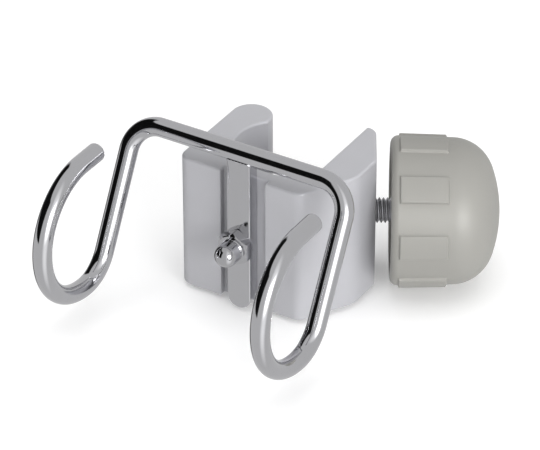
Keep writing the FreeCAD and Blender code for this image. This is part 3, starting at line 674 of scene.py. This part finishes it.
    def build(self) -> None:
        """Make the three pieces and dress them."""
        chrome = self.chrome.make("bright_plating")
        finish_piece(self.wire(), chrome, Body.CLAMP, "chrome", "hook_wire")
        finish_piece(self.bar(), self.polish.make("bar_polish"), Body.CLAMP, "satin_steel", "mounting_bar")
        finish_piece(self.weld(), chrome, Body.CLAMP, "weld", "hook_weld")


# ---------------------------------------------------------------------------------------------
# Nut and bolt
# ---------------------------------------------------------------------------------------------


@dataclass
class Fasteners:
    """Cap nut on the bar's front and the countersunk bolt that comes through from the seat."""

    flats: float = 10.0 * MM
    hexagon_height: float = 3.6 * MM
    face: float = 9.4 * MM
    dome: float = 7.4 * MM
    bevel: float = math.radians(30.0)
    corner: float = 0.12 * MM
    neck_fillet: float = 0.25 * MM
    turn: float = math.radians(-30.0)
    bolt: float = 6.0 * MM
    head: float = 12.0 * MM
    socket: float = 4.0 * MM
    socket_depth: float = 2.2 * MM
    socket_corner: float = 0.05 * MM
    rim: float = 0.15 * MM
    pitch: float = 1.0 * MM
    thread_depth: float = 0.5 * MM

    def axes(self, start: float) -> Axes:
        """Axes on the bolt: along points forward, up is up, starting at a place along Y."""
        low, high = node_span("mounting_bar")
        centre = float(low[0] + high[0]) / 2
        return Axes((centre, start, 0.0), (1.0, 0.0, 0.0), (0.0, 0.0, 1.0), (0.0, -1.0, 0.0))

    def cap_nut(self) -> bpy.types.Object:
        """Cap nut: radius is the lesser of the hexagon and a 30 degree cone, then neck and dome.

        The corners are cut by the cone, which gives the curved upper edge of each flat. The dome
        is a quarter circle above a short cylinder.
        """
        low, high = node_span("cap_nut")
        height = float(high[1] - low[1])
        angle = np.linspace(0, TURN, 360, endpoint=False)
        side = hexagon_radius(angle + self.turn, self.flats, self.corner)[None]
        foot_end = 0.5 * MM
        flats_run = np.linspace(foot_end, self.hexagon_height, 70)[1:]
        level = np.concatenate([np.linspace(0, foot_end, 6), flats_run])
        cone = self.face / 2 + (self.hexagon_height - level) / math.tan(self.bevel)
        foot = self.flats / 2 + level / math.tan(self.bevel)
        hexagon = np.minimum(side, np.minimum(cone, foot)[:, None])
        neck = self.dome / 2
        fillet = self.neck_fillet
        rise = np.linspace(0, math.pi / 2, 6)
        step = np.stack([neck + fillet * (1 - np.sin(rise)),
                         self.hexagon_height + fillet * (1 - np.cos(rise))], axis=-1)
        dome_start = height - neck
        curve = np.linspace(0, math.pi / 2, 28)[:-1]
        dome = np.stack([neck * np.cos(curve), dome_start + neck * np.sin(curve)], axis=-1)
        upper = np.concatenate([step[1:], dome])
        radius = np.concatenate([hexagon, np.repeat(upper[:, :1], len(angle), axis=1)])
        along = np.concatenate([level, upper[:, 1]])[:, None] + 0 * angle
        axes = self.axes(float(high[1]))
        rings = axes.place(radius * np.cos(angle), radius * np.sin(angle), along)
        return closed_grid("acorn_nut", rings, 22.0)

    def countersunk_bolt(self) -> bpy.types.Object:
        """Socket bolt: hexagon socket, flat head, 90 degree cone and a shank with a rolled thread.

        The thread's radius falls and rises as a clipped triangle wave of along / pitch - angle / turn.
        """
        low, high = node_span("countersunk_bolt")
        length = float(high[1] - low[1])
        angle = np.linspace(0, TURN, 144, endpoint=False)
        hexagon = hexagon_radius(angle, self.socket, self.socket_corner)
        ring = np.ones_like(angle)
        head = self.head / 2
        shank = self.bolt / 2
        cone = head - shank
        rim = self.rim
        rows = [(hexagon * 0.5, self.socket_depth), (hexagon * 0.97, self.socket_depth),
                (hexagon, self.socket_depth - rim), (hexagon, rim), (hexagon + rim, 0.0),
                (ring * 0.8 * head, 0.0), (ring * (head - 2 * rim), 0.0), (ring * (head - rim), 0.3 * rim),
                (ring * head, rim), (ring * shank, cone)]
        radius = [row[0] for row in rows]
        along = [row[1] + 0 * angle for row in rows]
        steps = np.linspace(cone + 0.3 * MM, length - 0.6 * MM, 260)
        wave = np.abs(((steps[:, None] / self.pitch - angle / TURN) % 1.0) * 2 - 1)
        slope, crest, clearance = 1.15, 0.08, 0.02 * MM
        thread = shank - clearance - self.thread_depth * np.clip(slope * wave - crest, 0, 1)
        radius = np.concatenate([np.array(radius), thread, [ring * shank * 0.72, ring * shank * 0.3]])
        along = np.concatenate([np.array(along), steps[:, None] + 0 * angle,
                                [length + 0 * angle, length + 0 * angle]])
        axes = self.axes(float(high[1]))
        rings = axes.place(radius * np.cos(angle), radius * np.sin(angle), along)
        return closed_grid("socket_bolt", rings, 35.0)

    def build(self) -> None:
        """Make both fasteners and dress them."""
        finish_piece(self.cap_nut(), Chrome(colour=0.55, roughness=0.06).make("nut_plating"), Body.CLAMP,
                     "nut_chrome", "cap_nut")
        finish_piece(self.countersunk_bolt(), Satin(0.42, 0.3).make("zinc"),
                     Body.CLAMP, "zinc_steel", "countersunk_bolt")


# ---------------------------------------------------------------------------------------------
# Clamp body
# ---------------------------------------------------------------------------------------------


@dataclass
class ClampBody:
    """C-shaped body of one section with an upright channel in its front, and its two holes."""

    seat: float = 15.0 * MM
    front: float = 21.5 * MM
    left: float = 24.4 * MM
    front_width: float = 43.3 * MM
    front_corner: float = 4.0 * MM
    arm_inner: float = 16.9 * MM
    arm_inner_corner: float = 12.0 * MM
    arm_side: float = 29.0 * MM
    bulge: float = 12.0 * MM
    tip_reach: float = 23.5 * MM
    tip_corner: float = 4.0 * MM
    small_corner: float = 0.8 * MM
    lip: float = 6.7 * MM
    lip_reach: float = 11.2 * MM
    edge: float = 0.8 * MM
    face_offset: float = 29.1 * MM
    channel_width: float = 15.8 * MM
    channel_depth: float = 2.2 * MM
    channel_edge: float = 0.35 * MM
    channel_root: float = 0.3 * MM
    least_corner: float = 0.02 * MM
    guard: float = 0.12 * MM
    bolt_hole: float = 3.15 * MM
    head_hole: float = 6.15 * MM
    screw_hole: float = 4.06 * MM
    screw_chamfer: float = 0.5 * MM
    crease: float = 35.0
    coating: Coating = field(default_factory=Coating)

    def section(self, inset: float = 0.0) -> Array:
        """The body's outline seen from above, left about, with each of its sides moved in by inset.

        It goes along the front with its channel, round the slanted flank and the screw arm, along
        the arm's inner face and the seat to the lip's full round, and back down the left side. A
        side is a line n . p = c, which becomes n . p = c - inset. A corner that points outwards
        loses the inset from its radius, and one that points inwards gains it.

        Args:
            inset: how far each side moves into the body, in metres.

        Returns:
            N by 2 points, as many of them for any inset.
        """
        outward = screw_axes(0.0).along
        cos, sin = float(outward[0]), float(outward[1])
        low, high = node_span("mounting_bar")
        centre = float(low[0] + high[0]) / 2
        half = self.channel_width / 2 + inset
        front, left, side = self.front - inset, self.left - inset, self.arm_side - inset
        floor = self.channel_depth - self.front + inset
        flank = (self.front_width - self.left) * cos + self.front * sin - inset
        face, reach = self.face_offset - inset, self.tip_reach - inset
        inner, seat = self.arm_inner + inset, self.seat + inset

        def out(radius: float) -> float:
            """Radius of a corner that points outwards, after the inset."""
            return max(radius - inset, self.least_corner)

        back = (face - reach * sin) / cos
        tip = min(out(self.tip_corner), (back - inner - out(self.small_corner)) * (1 + sin) / cos)
        outer = [(-left, self.lip_reach, 0.0), (-left, -front, out(self.front_corner)),
                 (centre - half, -front, out(self.channel_edge)),
                 (centre - half, floor, self.channel_root + inset),
                 (centre + half, floor, self.channel_root + inset),
                 (centre + half, -front, out(self.channel_edge)),
                 ((flank - front * sin) / cos, -front, out(self.front_corner)),
                 (side, (side * cos - flank) / sin, out(self.bulge)),
                 (side, (face - side * cos) / sin, out(self.small_corner)),
                 (back, reach, tip),
                 (inner, reach, out(self.small_corner)),
                 (inner, -seat, self.arm_inner_corner + inset), (0.0, -seat, 0.0)]
        middle = self.lip - self.left
        inside = middle + self.lip - inset
        meet = math.degrees(math.acos(-inside / seat))
        bore = arc((0.0, 0.0), seat, 270.0, 180.0 - meet, 56)[1:]
        lip = arc((middle, self.lip_reach), self.lip - inset, 0.0, 180.0, 44)[:-1]
        return np.concatenate([rounded(outer, 14), bore, lip])

    @staticmethod
    def divisions(outline: Array, longest: float, guard: float) -> tuple[Array, Array]:
        """Where long runs of an outline are cut, with a cut close to each end of such a run.

        Args:
            outline: N by 2 points of a closed outline.
            longest: no piece is longer than this, in metres.
            guard: how far the close cuts are from a run's ends.

        Returns:
            The number of the run that each new point is on, and its share of that run.
        """
        lengths = np.linalg.norm(np.roll(outline, -1, axis=0) - outline, axis=1)
        runs, shares = [], []
        for number, length in enumerate(lengths):
            share = np.zeros(1)
            if length > 3 * guard:
                inner = np.linspace(0, 1, max(1, int(length / longest)) + 1)[1:-1]
                share = np.concatenate([[0.0, guard / length], inner, [1 - guard / length]])
            runs.append(np.full(len(share), number))
            shares.append(share)
        return np.concatenate(runs), np.concatenate(shares)

    def solid(self) -> bpy.types.Object:
        """The section carried up the body, drawn in over a quarter circle at both rims.

        At a rim the section's inset is edge * (1 - sin a) while its level is short of the flat
        end by edge * (1 - cos a), for a from 0 at the flat end to a right angle at the wall. Two
        more rings inside each rim keep the flat ends flat.
        """
        low, high = node_span("clamp_body")
        runs, shares = self.divisions(self.section(), 2.2 * MM, self.guard)
        turn = np.linspace(0, math.pi / 2, 9)
        insets = np.concatenate([[self.edge + 3 * self.guard, self.edge + self.guard],
                                 self.edge * (1 - np.sin(turn))])
        drops = np.concatenate([[0.0, 0.0], self.edge * (1 - np.cos(turn))])
        wall = np.linspace(low[2] + self.edge, high[2] - self.edge, 24)[1:-1]
        wall = np.concatenate([[low[2] + self.edge + self.guard], wall, [high[2] - self.edge - self.guard]])
        levels = np.concatenate([low[2] + drops, wall, (high[2] - drops)[::-1]])
        rings = []
        for inset, level in zip(np.concatenate([insets, 0 * wall, insets[::-1]]), levels):
            coarse = self.section(float(inset))
            flat = coarse[runs] + shares[:, None] * (np.roll(coarse, -1, axis=0) - coarse)[runs]
            rings.append(np.column_stack([flat, np.full(len(flat), level)]))
        columns, points = len(runs), np.concatenate(rings)
        faces = grid_faces(len(levels), columns, wrap=True).tolist()
        faces.append(list(range(columns))[::-1])
        faces.append(list(range(len(points) - columns, len(points))))
        return make_object("clamp_casting", points, faces, self.crease)

    def cutters(self) -> list[bpy.types.Object]:
        """The countersunk bolt hole and the screw's hole, as closed turned shapes."""
        head = float(node_span("countersunk_bolt")[1][1])
        bar_low, bar_high = node_span("mounting_bar")
        centre = float(bar_low[0] + bar_high[0]) / 2
        bolt = Axes((centre, head, 0.0), (1.0, 0.0, 0.0), (0.0, 0.0, 1.0), (0.0, -1.0, 0.0))
        cone = self.head_hole - self.bolt_hole
        hole = np.array([(self.head_hole, -6 * MM), (self.head_hole, 0.0), (self.bolt_hole, cone),
                         (self.bolt_hole, 12 * MM)])
        chamfer = self.screw_chamfer
        screw = np.array([(self.screw_hole, self.arm_inner - 8 * MM),
                          (self.screw_hole, self.face_offset - chamfer),
                          (self.screw_hole + 2 * chamfer, self.face_offset + chamfer)])
        return [turned("bolt_hole", bolt, hole, 96), turned("screw_hole", screw_axes(0.0), screw, 96)]

    def build(self) -> None:
        """Make the body, cut its holes, and dress it."""
        body = self.solid()
        for cutter in self.cutters():
            cut = body.modifiers.new(cutter.name, "BOOLEAN")
            cut.operation = "DIFFERENCE"
            cut.solver = "EXACT"
            cut.object = cutter
            mesh = bpy.data.meshes.new_from_object(body.evaluated_get(bpy.context.evaluated_depsgraph_get()))
            body.modifiers.clear()
            body.data = mesh
            bpy.data.objects.remove(cutter)
        body.data.name = body.name
        body.data.set_sharp_from_angle(angle=math.radians(self.crease))
        finish_piece(body, self.coating.make("grey_coating"), Body.CLAMP, "clamp_grey", "clamp_body")


# ---------------------------------------------------------------------------------------------
# Clamp screw
# ---------------------------------------------------------------------------------------------


@dataclass
class ClampScrew:
    """Threaded spindle, knob, pressure button and snap ring."""

    thread: float = 8.0 * MM
    pitch: float = 1.25 * MM
    thread_depth: float = 0.7 * MM
    bore: float = 4.4 * MM
    bore_depth: float = 7.0 * MM
    knob_radius: float = 23.298 * MM    # this and the next are 0.002 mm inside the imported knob
    front_radius: float = 22.898 * MM
    dome_shoulder: float = 13.5 * MM
    crown: float = 42.0 * MM
    rim: float = 2.4 * MM
    wall: float = 3.4 * MM
    hollow: float = 3.8 * MM
    hub: float = 9.6 * MM
    hub_setback: float = 0.8 * MM
    ribs: int = 8
    rib_thickness: float = 1.8 * MM
    rib_setback: float = 1.0 * MM
    rib_sink: float = 0.4 * MM
    rib_edge: float = 0.45 * MM
    hollow_fillet: float = 0.5 * MM
    lip: float = 0.6 * MM
    pads: int = 8
    pad_rise: float = 0.9 * MM
    pad_start: float = 2.7 * MM
    pad_length: float = 14.8 * MM
    pad_arc: float = 20.5
    pad_turn: float = -3.3
    pad_edge: float = 0.55 * MM
    button: float = 6.4 * MM
    button_height: float = 2.4 * MM
    button_crown: float = 0.5 * MM
    stem: float = 4.3 * MM
    plastic: Moulding = field(default_factory=Moulding)

    def spindle(self) -> bpy.types.Object:
        """Threaded rod: radius is a trapezoid wave of along / pitch - angle / turn.

        The wave runs from crest to root over three eighths of a pitch on each side, with a
        tenth of crest and a rounded root, and fades into the chamfer at the free end.
        """
        start = screw_span("clamp_spindle")[0]
        end = screw_span("knob")[0] + self.hollow
        length = end - start
        angle = np.linspace(0, TURN, 72, endpoint=False)
        rows_per_turn = 26
        along = np.linspace(0, length, int(length / self.pitch * rows_per_turn))
        phase = (along[:, None] / self.pitch - angle / TURN) % 1.0
        crest, flanks, straight = 0.1, 0.75, 0.75
        wave = np.clip((np.abs(phase * 2 - 1) - crest) / flanks, 0, 1)
        wave = straight * wave + (1 - straight) * wave * wave * (3 - 2 * wave)
        radius = self.thread / 2 - self.thread_depth * wave
        radius = np.minimum(radius, self.thread / 2 - self.thread_depth + along[:, None])
        mouth = self.bore / 2
        inner = [(0.02 * MM, self.bore_depth), (mouth * 0.9, self.bore_depth),
                 (mouth, self.bore_depth - 0.2 * MM), (mouth, 0.15 * MM), (mouth + 0.15 * MM, 0.0)]
        ones = np.ones_like(angle)
        rows = np.array([ones * radius_in for radius_in, _ in inner])
        depth = np.array([ones * deep for _, deep in inner])
        radius = np.concatenate([rows, radius, [ones * self.thread / 4]])
        along = np.concatenate([depth, along[:, None] + 0 * angle, [ones * length]])
        rings = screw_axes(start).place(radius * np.cos(angle), radius * np.sin(angle), along)
        return closed_grid("threaded_rod", rings, 40.0)

    def knob_profile(self) -> tuple[Array, Array]:
        """Radius and distance along the knob, from the hub's end round the back rim to the dome."""
        length = screw_span("knob")[1] - screw_span("knob")[0]
        inner_arm = self.front_radius - self.dome_shoulder
        reach = self.crown - self.dome_shoulder
        dome_start = length - self.crown + math.sqrt(reach ** 2 - inner_arm ** 2)
        meet = math.degrees(math.acos(inner_arm / reach))
        bore, hollow = self.thread / 2, self.hollow
        inner = self.knob_radius - self.wall
        soft, lip = self.hollow_fillet, self.lip
        back = [[(bore, hollow + 2 * MM), (bore, self.hub_setback + soft)],
                arc((bore + soft, self.hub_setback + soft), soft, 180, 270, 5),
                arc((self.hub - soft, self.hub_setback + soft), soft, 270, 360, 5),
                [(self.hub, hollow - 2 * soft)],
                arc((self.hub + soft, hollow - soft), soft, 180, 90, 5),
                arc((inner - soft, hollow - soft), soft, 90, 0, 5),
                [(inner, 0.8 * MM)],
                arc((inner + lip, lip), lip, 180, 270, 5),
                arc((self.knob_radius - self.rim, self.rim), self.rim, 270, 360, 16)]
        side_steps = np.linspace(0, 1, 150)[1:]
        side = np.stack([self.knob_radius + (self.front_radius - self.knob_radius) * side_steps,
                         self.rim + (dome_start - self.rim) * side_steps], axis=-1)
        shoulder = arc((inner_arm, dome_start), self.dome_shoulder, 0, meet, 40)[1:]
        crown = arc((0.0, length - self.crown), self.crown, meet, 90, 40)[1:-1]
        profile = np.concatenate([np.array(part, float).reshape(-1, 2) for part in back]
                                 + [side, shoulder, crown])
        return profile[:, 0], profile[:, 1]

    def knob(self) -> bpy.types.Object:
        """Surface of revolution whose radius swells over eight pads.

        A pad is the product of a smooth step along the knob and one round it, each with a soft
        edge, times the rise. It counts only on the outer side.
        """
        radius, along = self.knob_profile()
        columns = 720
        angle = np.linspace(0, TURN, columns, endpoint=False)
        start = screw_span("knob")[0]
        centre = math.radians(self.pad_turn)
        spacing = TURN / self.pads
        off = np.abs((angle + math.pi - centre + spacing / 2) % spacing - spacing / 2) * self.knob_radius
        half_arc = math.radians(self.pad_arc) / 2 * self.knob_radius
        round_share = self._soft(half_arc - off)
        run = self._soft(np.minimum(along - self.pad_start, self.pad_start + self.pad_length - along))
        outer = radius > self.knob_radius - self.rim
        swell = self.pad_rise * (run * outer)[:, None] * round_share[None]
        full = radius[:, None] + swell
        axes = screw_axes(start)
        rings = axes.place(full * np.cos(angle), full * np.sin(angle), along[:, None] + 0 * angle)
        return closed_grid("grip_knob", rings, 50.0)

    def _soft(self, inside: Array) -> Array:
        """0 outside an edge and 1 inside it, over the pad's edge width, as a smooth step."""
        share = np.clip(inside / self.pad_edge + 0.5, 0, 1)
        return share * share * (3 - 2 * share)

    def rib(self, number: int) -> bpy.types.Object:
        """One flat rib from hub to wall: a rounded rectangle carried along the knob."""
        start = screw_span("knob")[0]
        turn = TURN / self.ribs * number
        inner, outer = self.hub - self.rib_sink, self.knob_radius - self.wall + self.rib_sink
        half = self.rib_thickness / 2
        outline = rounded([(inner, -half, 0), (outer, -half, 0), (outer, half, 0), (inner, half, 0)])
        turn_in = np.linspace(0, math.pi / 2, 5)
        draws = np.append(self.rib_edge * (1 - np.sin(turn_in)), 0)
        levels = self.rib_setback + self.rib_edge * (1 - np.cos(turn_in))
        levels = np.append(levels, self.hollow + self.rib_sink)
        flat = outline[None] - draws[:, None, None] * np.sign(outline)[None] * [0, 1]
        x = flat[..., 0] * math.cos(turn) - flat[..., 1] * math.sin(turn)
        y = flat[..., 0] * math.sin(turn) + flat[..., 1] * math.cos(turn)
        rings = screw_axes(start).place(x, y, np.repeat(levels[:, None], len(outline), axis=1))
        return closed_grid("knob_rib_%d" % (number + 1), rings, 40.0)

    def pressure_button(self) -> bpy.types.Object:
        """Pressure button: crowned face, rounded rim and a plain stem with a chamfered end."""
        start, end = screw_span("pressure_button")
        rim, head, stem, edge_radius = self.button / 2, self.button_height, self.stem / 2, 0.4 * MM
        ball = (rim ** 2 + self.button_crown ** 2) / (2 * self.button_crown)
        spread = math.degrees(math.asin((rim - edge_radius) / ball))
        face = arc((0.0, ball), ball, -90, -90 + spread, 16)[1:]
        edge = face[-1][1]
        profile = np.concatenate([
            face, arc((rim - edge_radius, edge + 0.42 * MM), edge_radius, -80, 0, 6),
            [(rim, head - 0.1 * MM), (rim - 0.1 * MM, head), (stem, head), (stem, end - start - 0.3 * MM),
             (stem - 0.3 * MM, end - start), (0.5 * MM, end - start)]])
        return turned("acetal_button", screw_axes(start), profile, 96)

    def ring(self) -> bpy.types.Object:
        """Snap ring: a small circle carried round most of a larger one, with closed ends."""
        start, end = screw_span("snap_ring")
        wire = (end - start) / 2
        big = self.bore / 2 - wire / 3
        sweep = np.radians(np.linspace(30, 330, 73))
        small = np.linspace(0, TURN, 16, endpoint=False)
        radius = big + wire * np.cos(small)[None]
        rings = screw_axes((start + end) / 2).place(
            radius * np.cos(sweep)[:, None], radius * np.sin(sweep)[:, None],
            wire * np.sin(small)[None] + 0 * sweep[:, None])
        return closed_grid("wire_snap_ring", rings, 60.0, flip=True)

    def build(self) -> None:
        """Make the pieces of the screw and dress them."""
        plastic = self.plastic.make("knob_plastic")
        steel = Satin(0.62, 0.24)
        finish_piece(self.spindle(), steel.make("rolled_thread"), Body.SCREW, "thread_steel", "clamp_spindle")
        finish_piece(self.knob(), plastic, Body.SCREW, "knob_grey", "knob")
        for number in range(self.ribs):
            finish_piece(self.rib(number), plastic, Body.SCREW, "knob_grey")
        acetal = Moulding(colour=(0.72, 0.72, 0.68), roughness=0.4).make("acetal")
        finish_piece(self.pressure_button(), acetal, Body.BUTTON, "button_plastic", "pressure_button")
        finish_piece(self.ring(), Satin(0.2, 0.3).make("spring_wire"),
                     Body.SCREW, "spring_steel", "snap_ring")


# ---------------------------------------------------------------------------------------------
# Studio
# ---------------------------------------------------------------------------------------------


@dataclass(frozen=True)
class Panel:
    """One soft-edged patch of the surround that reflections see, in degrees about the object."""

    azimuth: float
    elevation: float
    half_width: float
    half_height: float
    soft_width: float
    soft_height: float
    radiance: float

    def share(self, azimuth: Array, elevation: Array) -> Array:
        """How much of the panel is seen in each direction: a smooth step at its sides and ends."""
        aside = np.abs((azimuth - self.azimuth + 180.0) % 360.0 - 180.0)
        across = np.clip((self.half_width - aside) / self.soft_width, 0, 1)
        along = np.clip((self.half_height - np.abs(elevation - self.elevation)) / self.soft_height, 0, 1)
        return across ** 2 * (3 - 2 * across) * along ** 2 * (3 - 2 * along)


# Dark side and dark low side at the left, then a tall light, its bright middle and its lamp
PANELS = (
    Panel(-70.0, 24.0, 56.0, 29.0, 5.0, 3.0, 0.0),
    Panel(-108.0, -18.0, 18.0, 34.0, 10.0, 16.0, 0.05),
    Panel(57.0, 4.0, 36.0, 86.0, 30.0, 60.0, 1.15),
    Panel(58.0, 14.0, 27.0, 27.0, 25.0, 25.0, 4.0),
    Panel(59.0, 18.0, 15.0, 15.0, 13.0, 13.0, 20.0),
)


@dataclass
class Studio:
    """Pale floor, soft lights, the surround that the plating mirrors, and the camera."""

    azimuth: float = 31.0
    elevation: float = 33.1
    distance: float = 1.0
    lens: float = 219.7
    target: tuple[float, float, float] = (0.00877, -0.02163, 0.00913)
    surround: float = 0.62
    panels: tuple[Panel, ...] = PANELS
    reach: float = 2.5
    floor_reach: float = 6.0
    floor_gap: float = 0.5 * MM

    def direction(self, azimuth: float, elevation: float) -> Vector:
        """The way from the object to a place at an azimuth and an elevation, in degrees."""
        turn, rise = math.radians(azimuth), math.radians(elevation)
        return Vector((math.sin(turn) * math.cos(rise), -math.cos(turn) * math.cos(rise), math.sin(rise)))

    def camera(self) -> None:
        """A long lens at the object's three-quarter view from above."""
        lens = bpy.data.cameras.new("camera")
        lens.lens = self.lens
        lens.sensor_width = 36.0
        lens.clip_end = 20.0
        lens.clip_start = 0.05
        eye = bpy.data.objects.new("camera", lens)
        way = self.direction(self.azimuth, self.elevation)
        eye.location = Vector(self.target) + self.distance * way
        eye.rotation_euler = way.to_track_quat("Z", "Y").to_euler()
        bpy.context.scene.collection.objects.link(eye)
        bpy.context.scene.camera = eye

    def light(self, name: str, azimuth: float, elevation: float, reach: float, power: float,
              width: float, height: float) -> None:
        """A soft rectangular light that faces the object and isn't mirrored.

        Args:
            name: the light's name.
            azimuth: where it stands round the object, in degrees.
            elevation: how high it stands, in degrees.
            reach: its distance, in metres.
            power: its power, in watts.
            width: its width, in metres.
            height: its height, in metres.
        """
        lamp = bpy.data.lights.new(name, "AREA")
        lamp.shape = "RECTANGLE"
        lamp.size = width
        lamp.size_y = height
        lamp.energy = power
        placed = bpy.data.objects.new(name, lamp)
        way = self.direction(azimuth, elevation)
        placed.location = Vector(self.target) + reach * way
        placed.rotation_euler = way.to_track_quat("Z", "Y").to_euler()
        placed.visible_glossy = False
        bpy.context.scene.collection.objects.link(placed)

    def dome(self) -> None:
        """The surround that only reflections see: a sphere whose every point has its own radiance.

        The radiance starts even, and each panel in turn draws it to its own by the panel's share.
        """
        rise, turn = np.meshgrid(np.linspace(-89.0, 89.0, 179), np.linspace(-180.0, 180.0, 361)[:-1],
                                 indexing="ij")
        radiance = np.full(rise.shape, self.surround)
        for panel in self.panels:
            radiance += panel.share(turn, rise) * (panel.radiance - radiance)
        turn, rise = np.radians(turn), np.radians(rise)
        way = np.stack([np.sin(turn) * np.cos(rise), -np.cos(turn) * np.cos(rise), np.sin(rise)], axis=-1)
        dome = closed_grid("reflected_surround", np.asarray(self.target) + self.reach * way, 60.0)
        layer = dome.data.attributes.new("radiance", "FLOAT", "POINT")
        shown = np.full(len(dome.data.vertices), self.surround)
        shown[:radiance.size] = radiance.ravel()
        layer.data.foreach_set("value", shown)
        paint = Paint("reflected_surround")
        level = paint.node("ShaderNodeAttribute", {"attribute_name": "radiance"}, output=2)
        paint.set(Base_Color=grey(0.0), Roughness=1.0, Emission_Strength=1.0, Emission_Color=level)
        dome.data.materials.append(paint.material)
        dome.visible_camera = False
        dome.visible_diffuse = False
        dome.visible_shadow = False

    def world(self) -> None:
        """An even pale surround, which lights the object but isn't mirrored."""
        surround = bpy.data.worlds.new("surround")
        surround.use_nodes = True
        back = surround.node_tree.nodes["Background"]
        back.inputs["Color"].default_value = (1.0, 1.0, 1.0, 1.0)
        back.inputs["Strength"].default_value = self.surround
        surround.cycles_visibility.glossy = False
        bpy.context.scene.world = surround

    def floor(self) -> None:
        """A wide pale floor just under the object."""
        low = CAD_BOX[0][2] - self.floor_gap
        reach = self.floor_reach
        corners = np.array([(x * reach, y * reach, low) for x, y in ((-1, -1), (1, -1), (1, 1), (-1, 1))])
        floor = make_object("floor", corners, [(0, 1, 2, 3)], 30.0)
        paint = Paint("pale_floor")
        paint.set(Base_Color=grey(0.9), Roughness=0.9, Emission_Color=grey(1.0), Emission_Strength=0.16)
        floor.data.materials.append(paint.material)
        floor.visible_glossy = False

    def build(self) -> None:
        """Set up the whole studio."""
        self.camera()
        self.floor()
        bpy.context.scene.view_settings.view_transform = "Standard"
        self.world()
        self.dome()
        self.light("overhead", azimuth=20.0, elevation=82.0, reach=1.3, power=7.5, width=1.2, height=1.2)
        self.light("side", azimuth=62.0, elevation=18.0, reach=1.3, power=10.0, width=0.75, height=0.62)


def main() -> None:
    """Build every piece in order, then the studio."""
    logging.basicConfig(level=logging.INFO, format="%(message)s")
    for part in (HookFrame(), Fasteners(), ClampBody(), ClampScrew()):
        part.build()
    Studio().build()


if __name__ == "__main__":
    main()
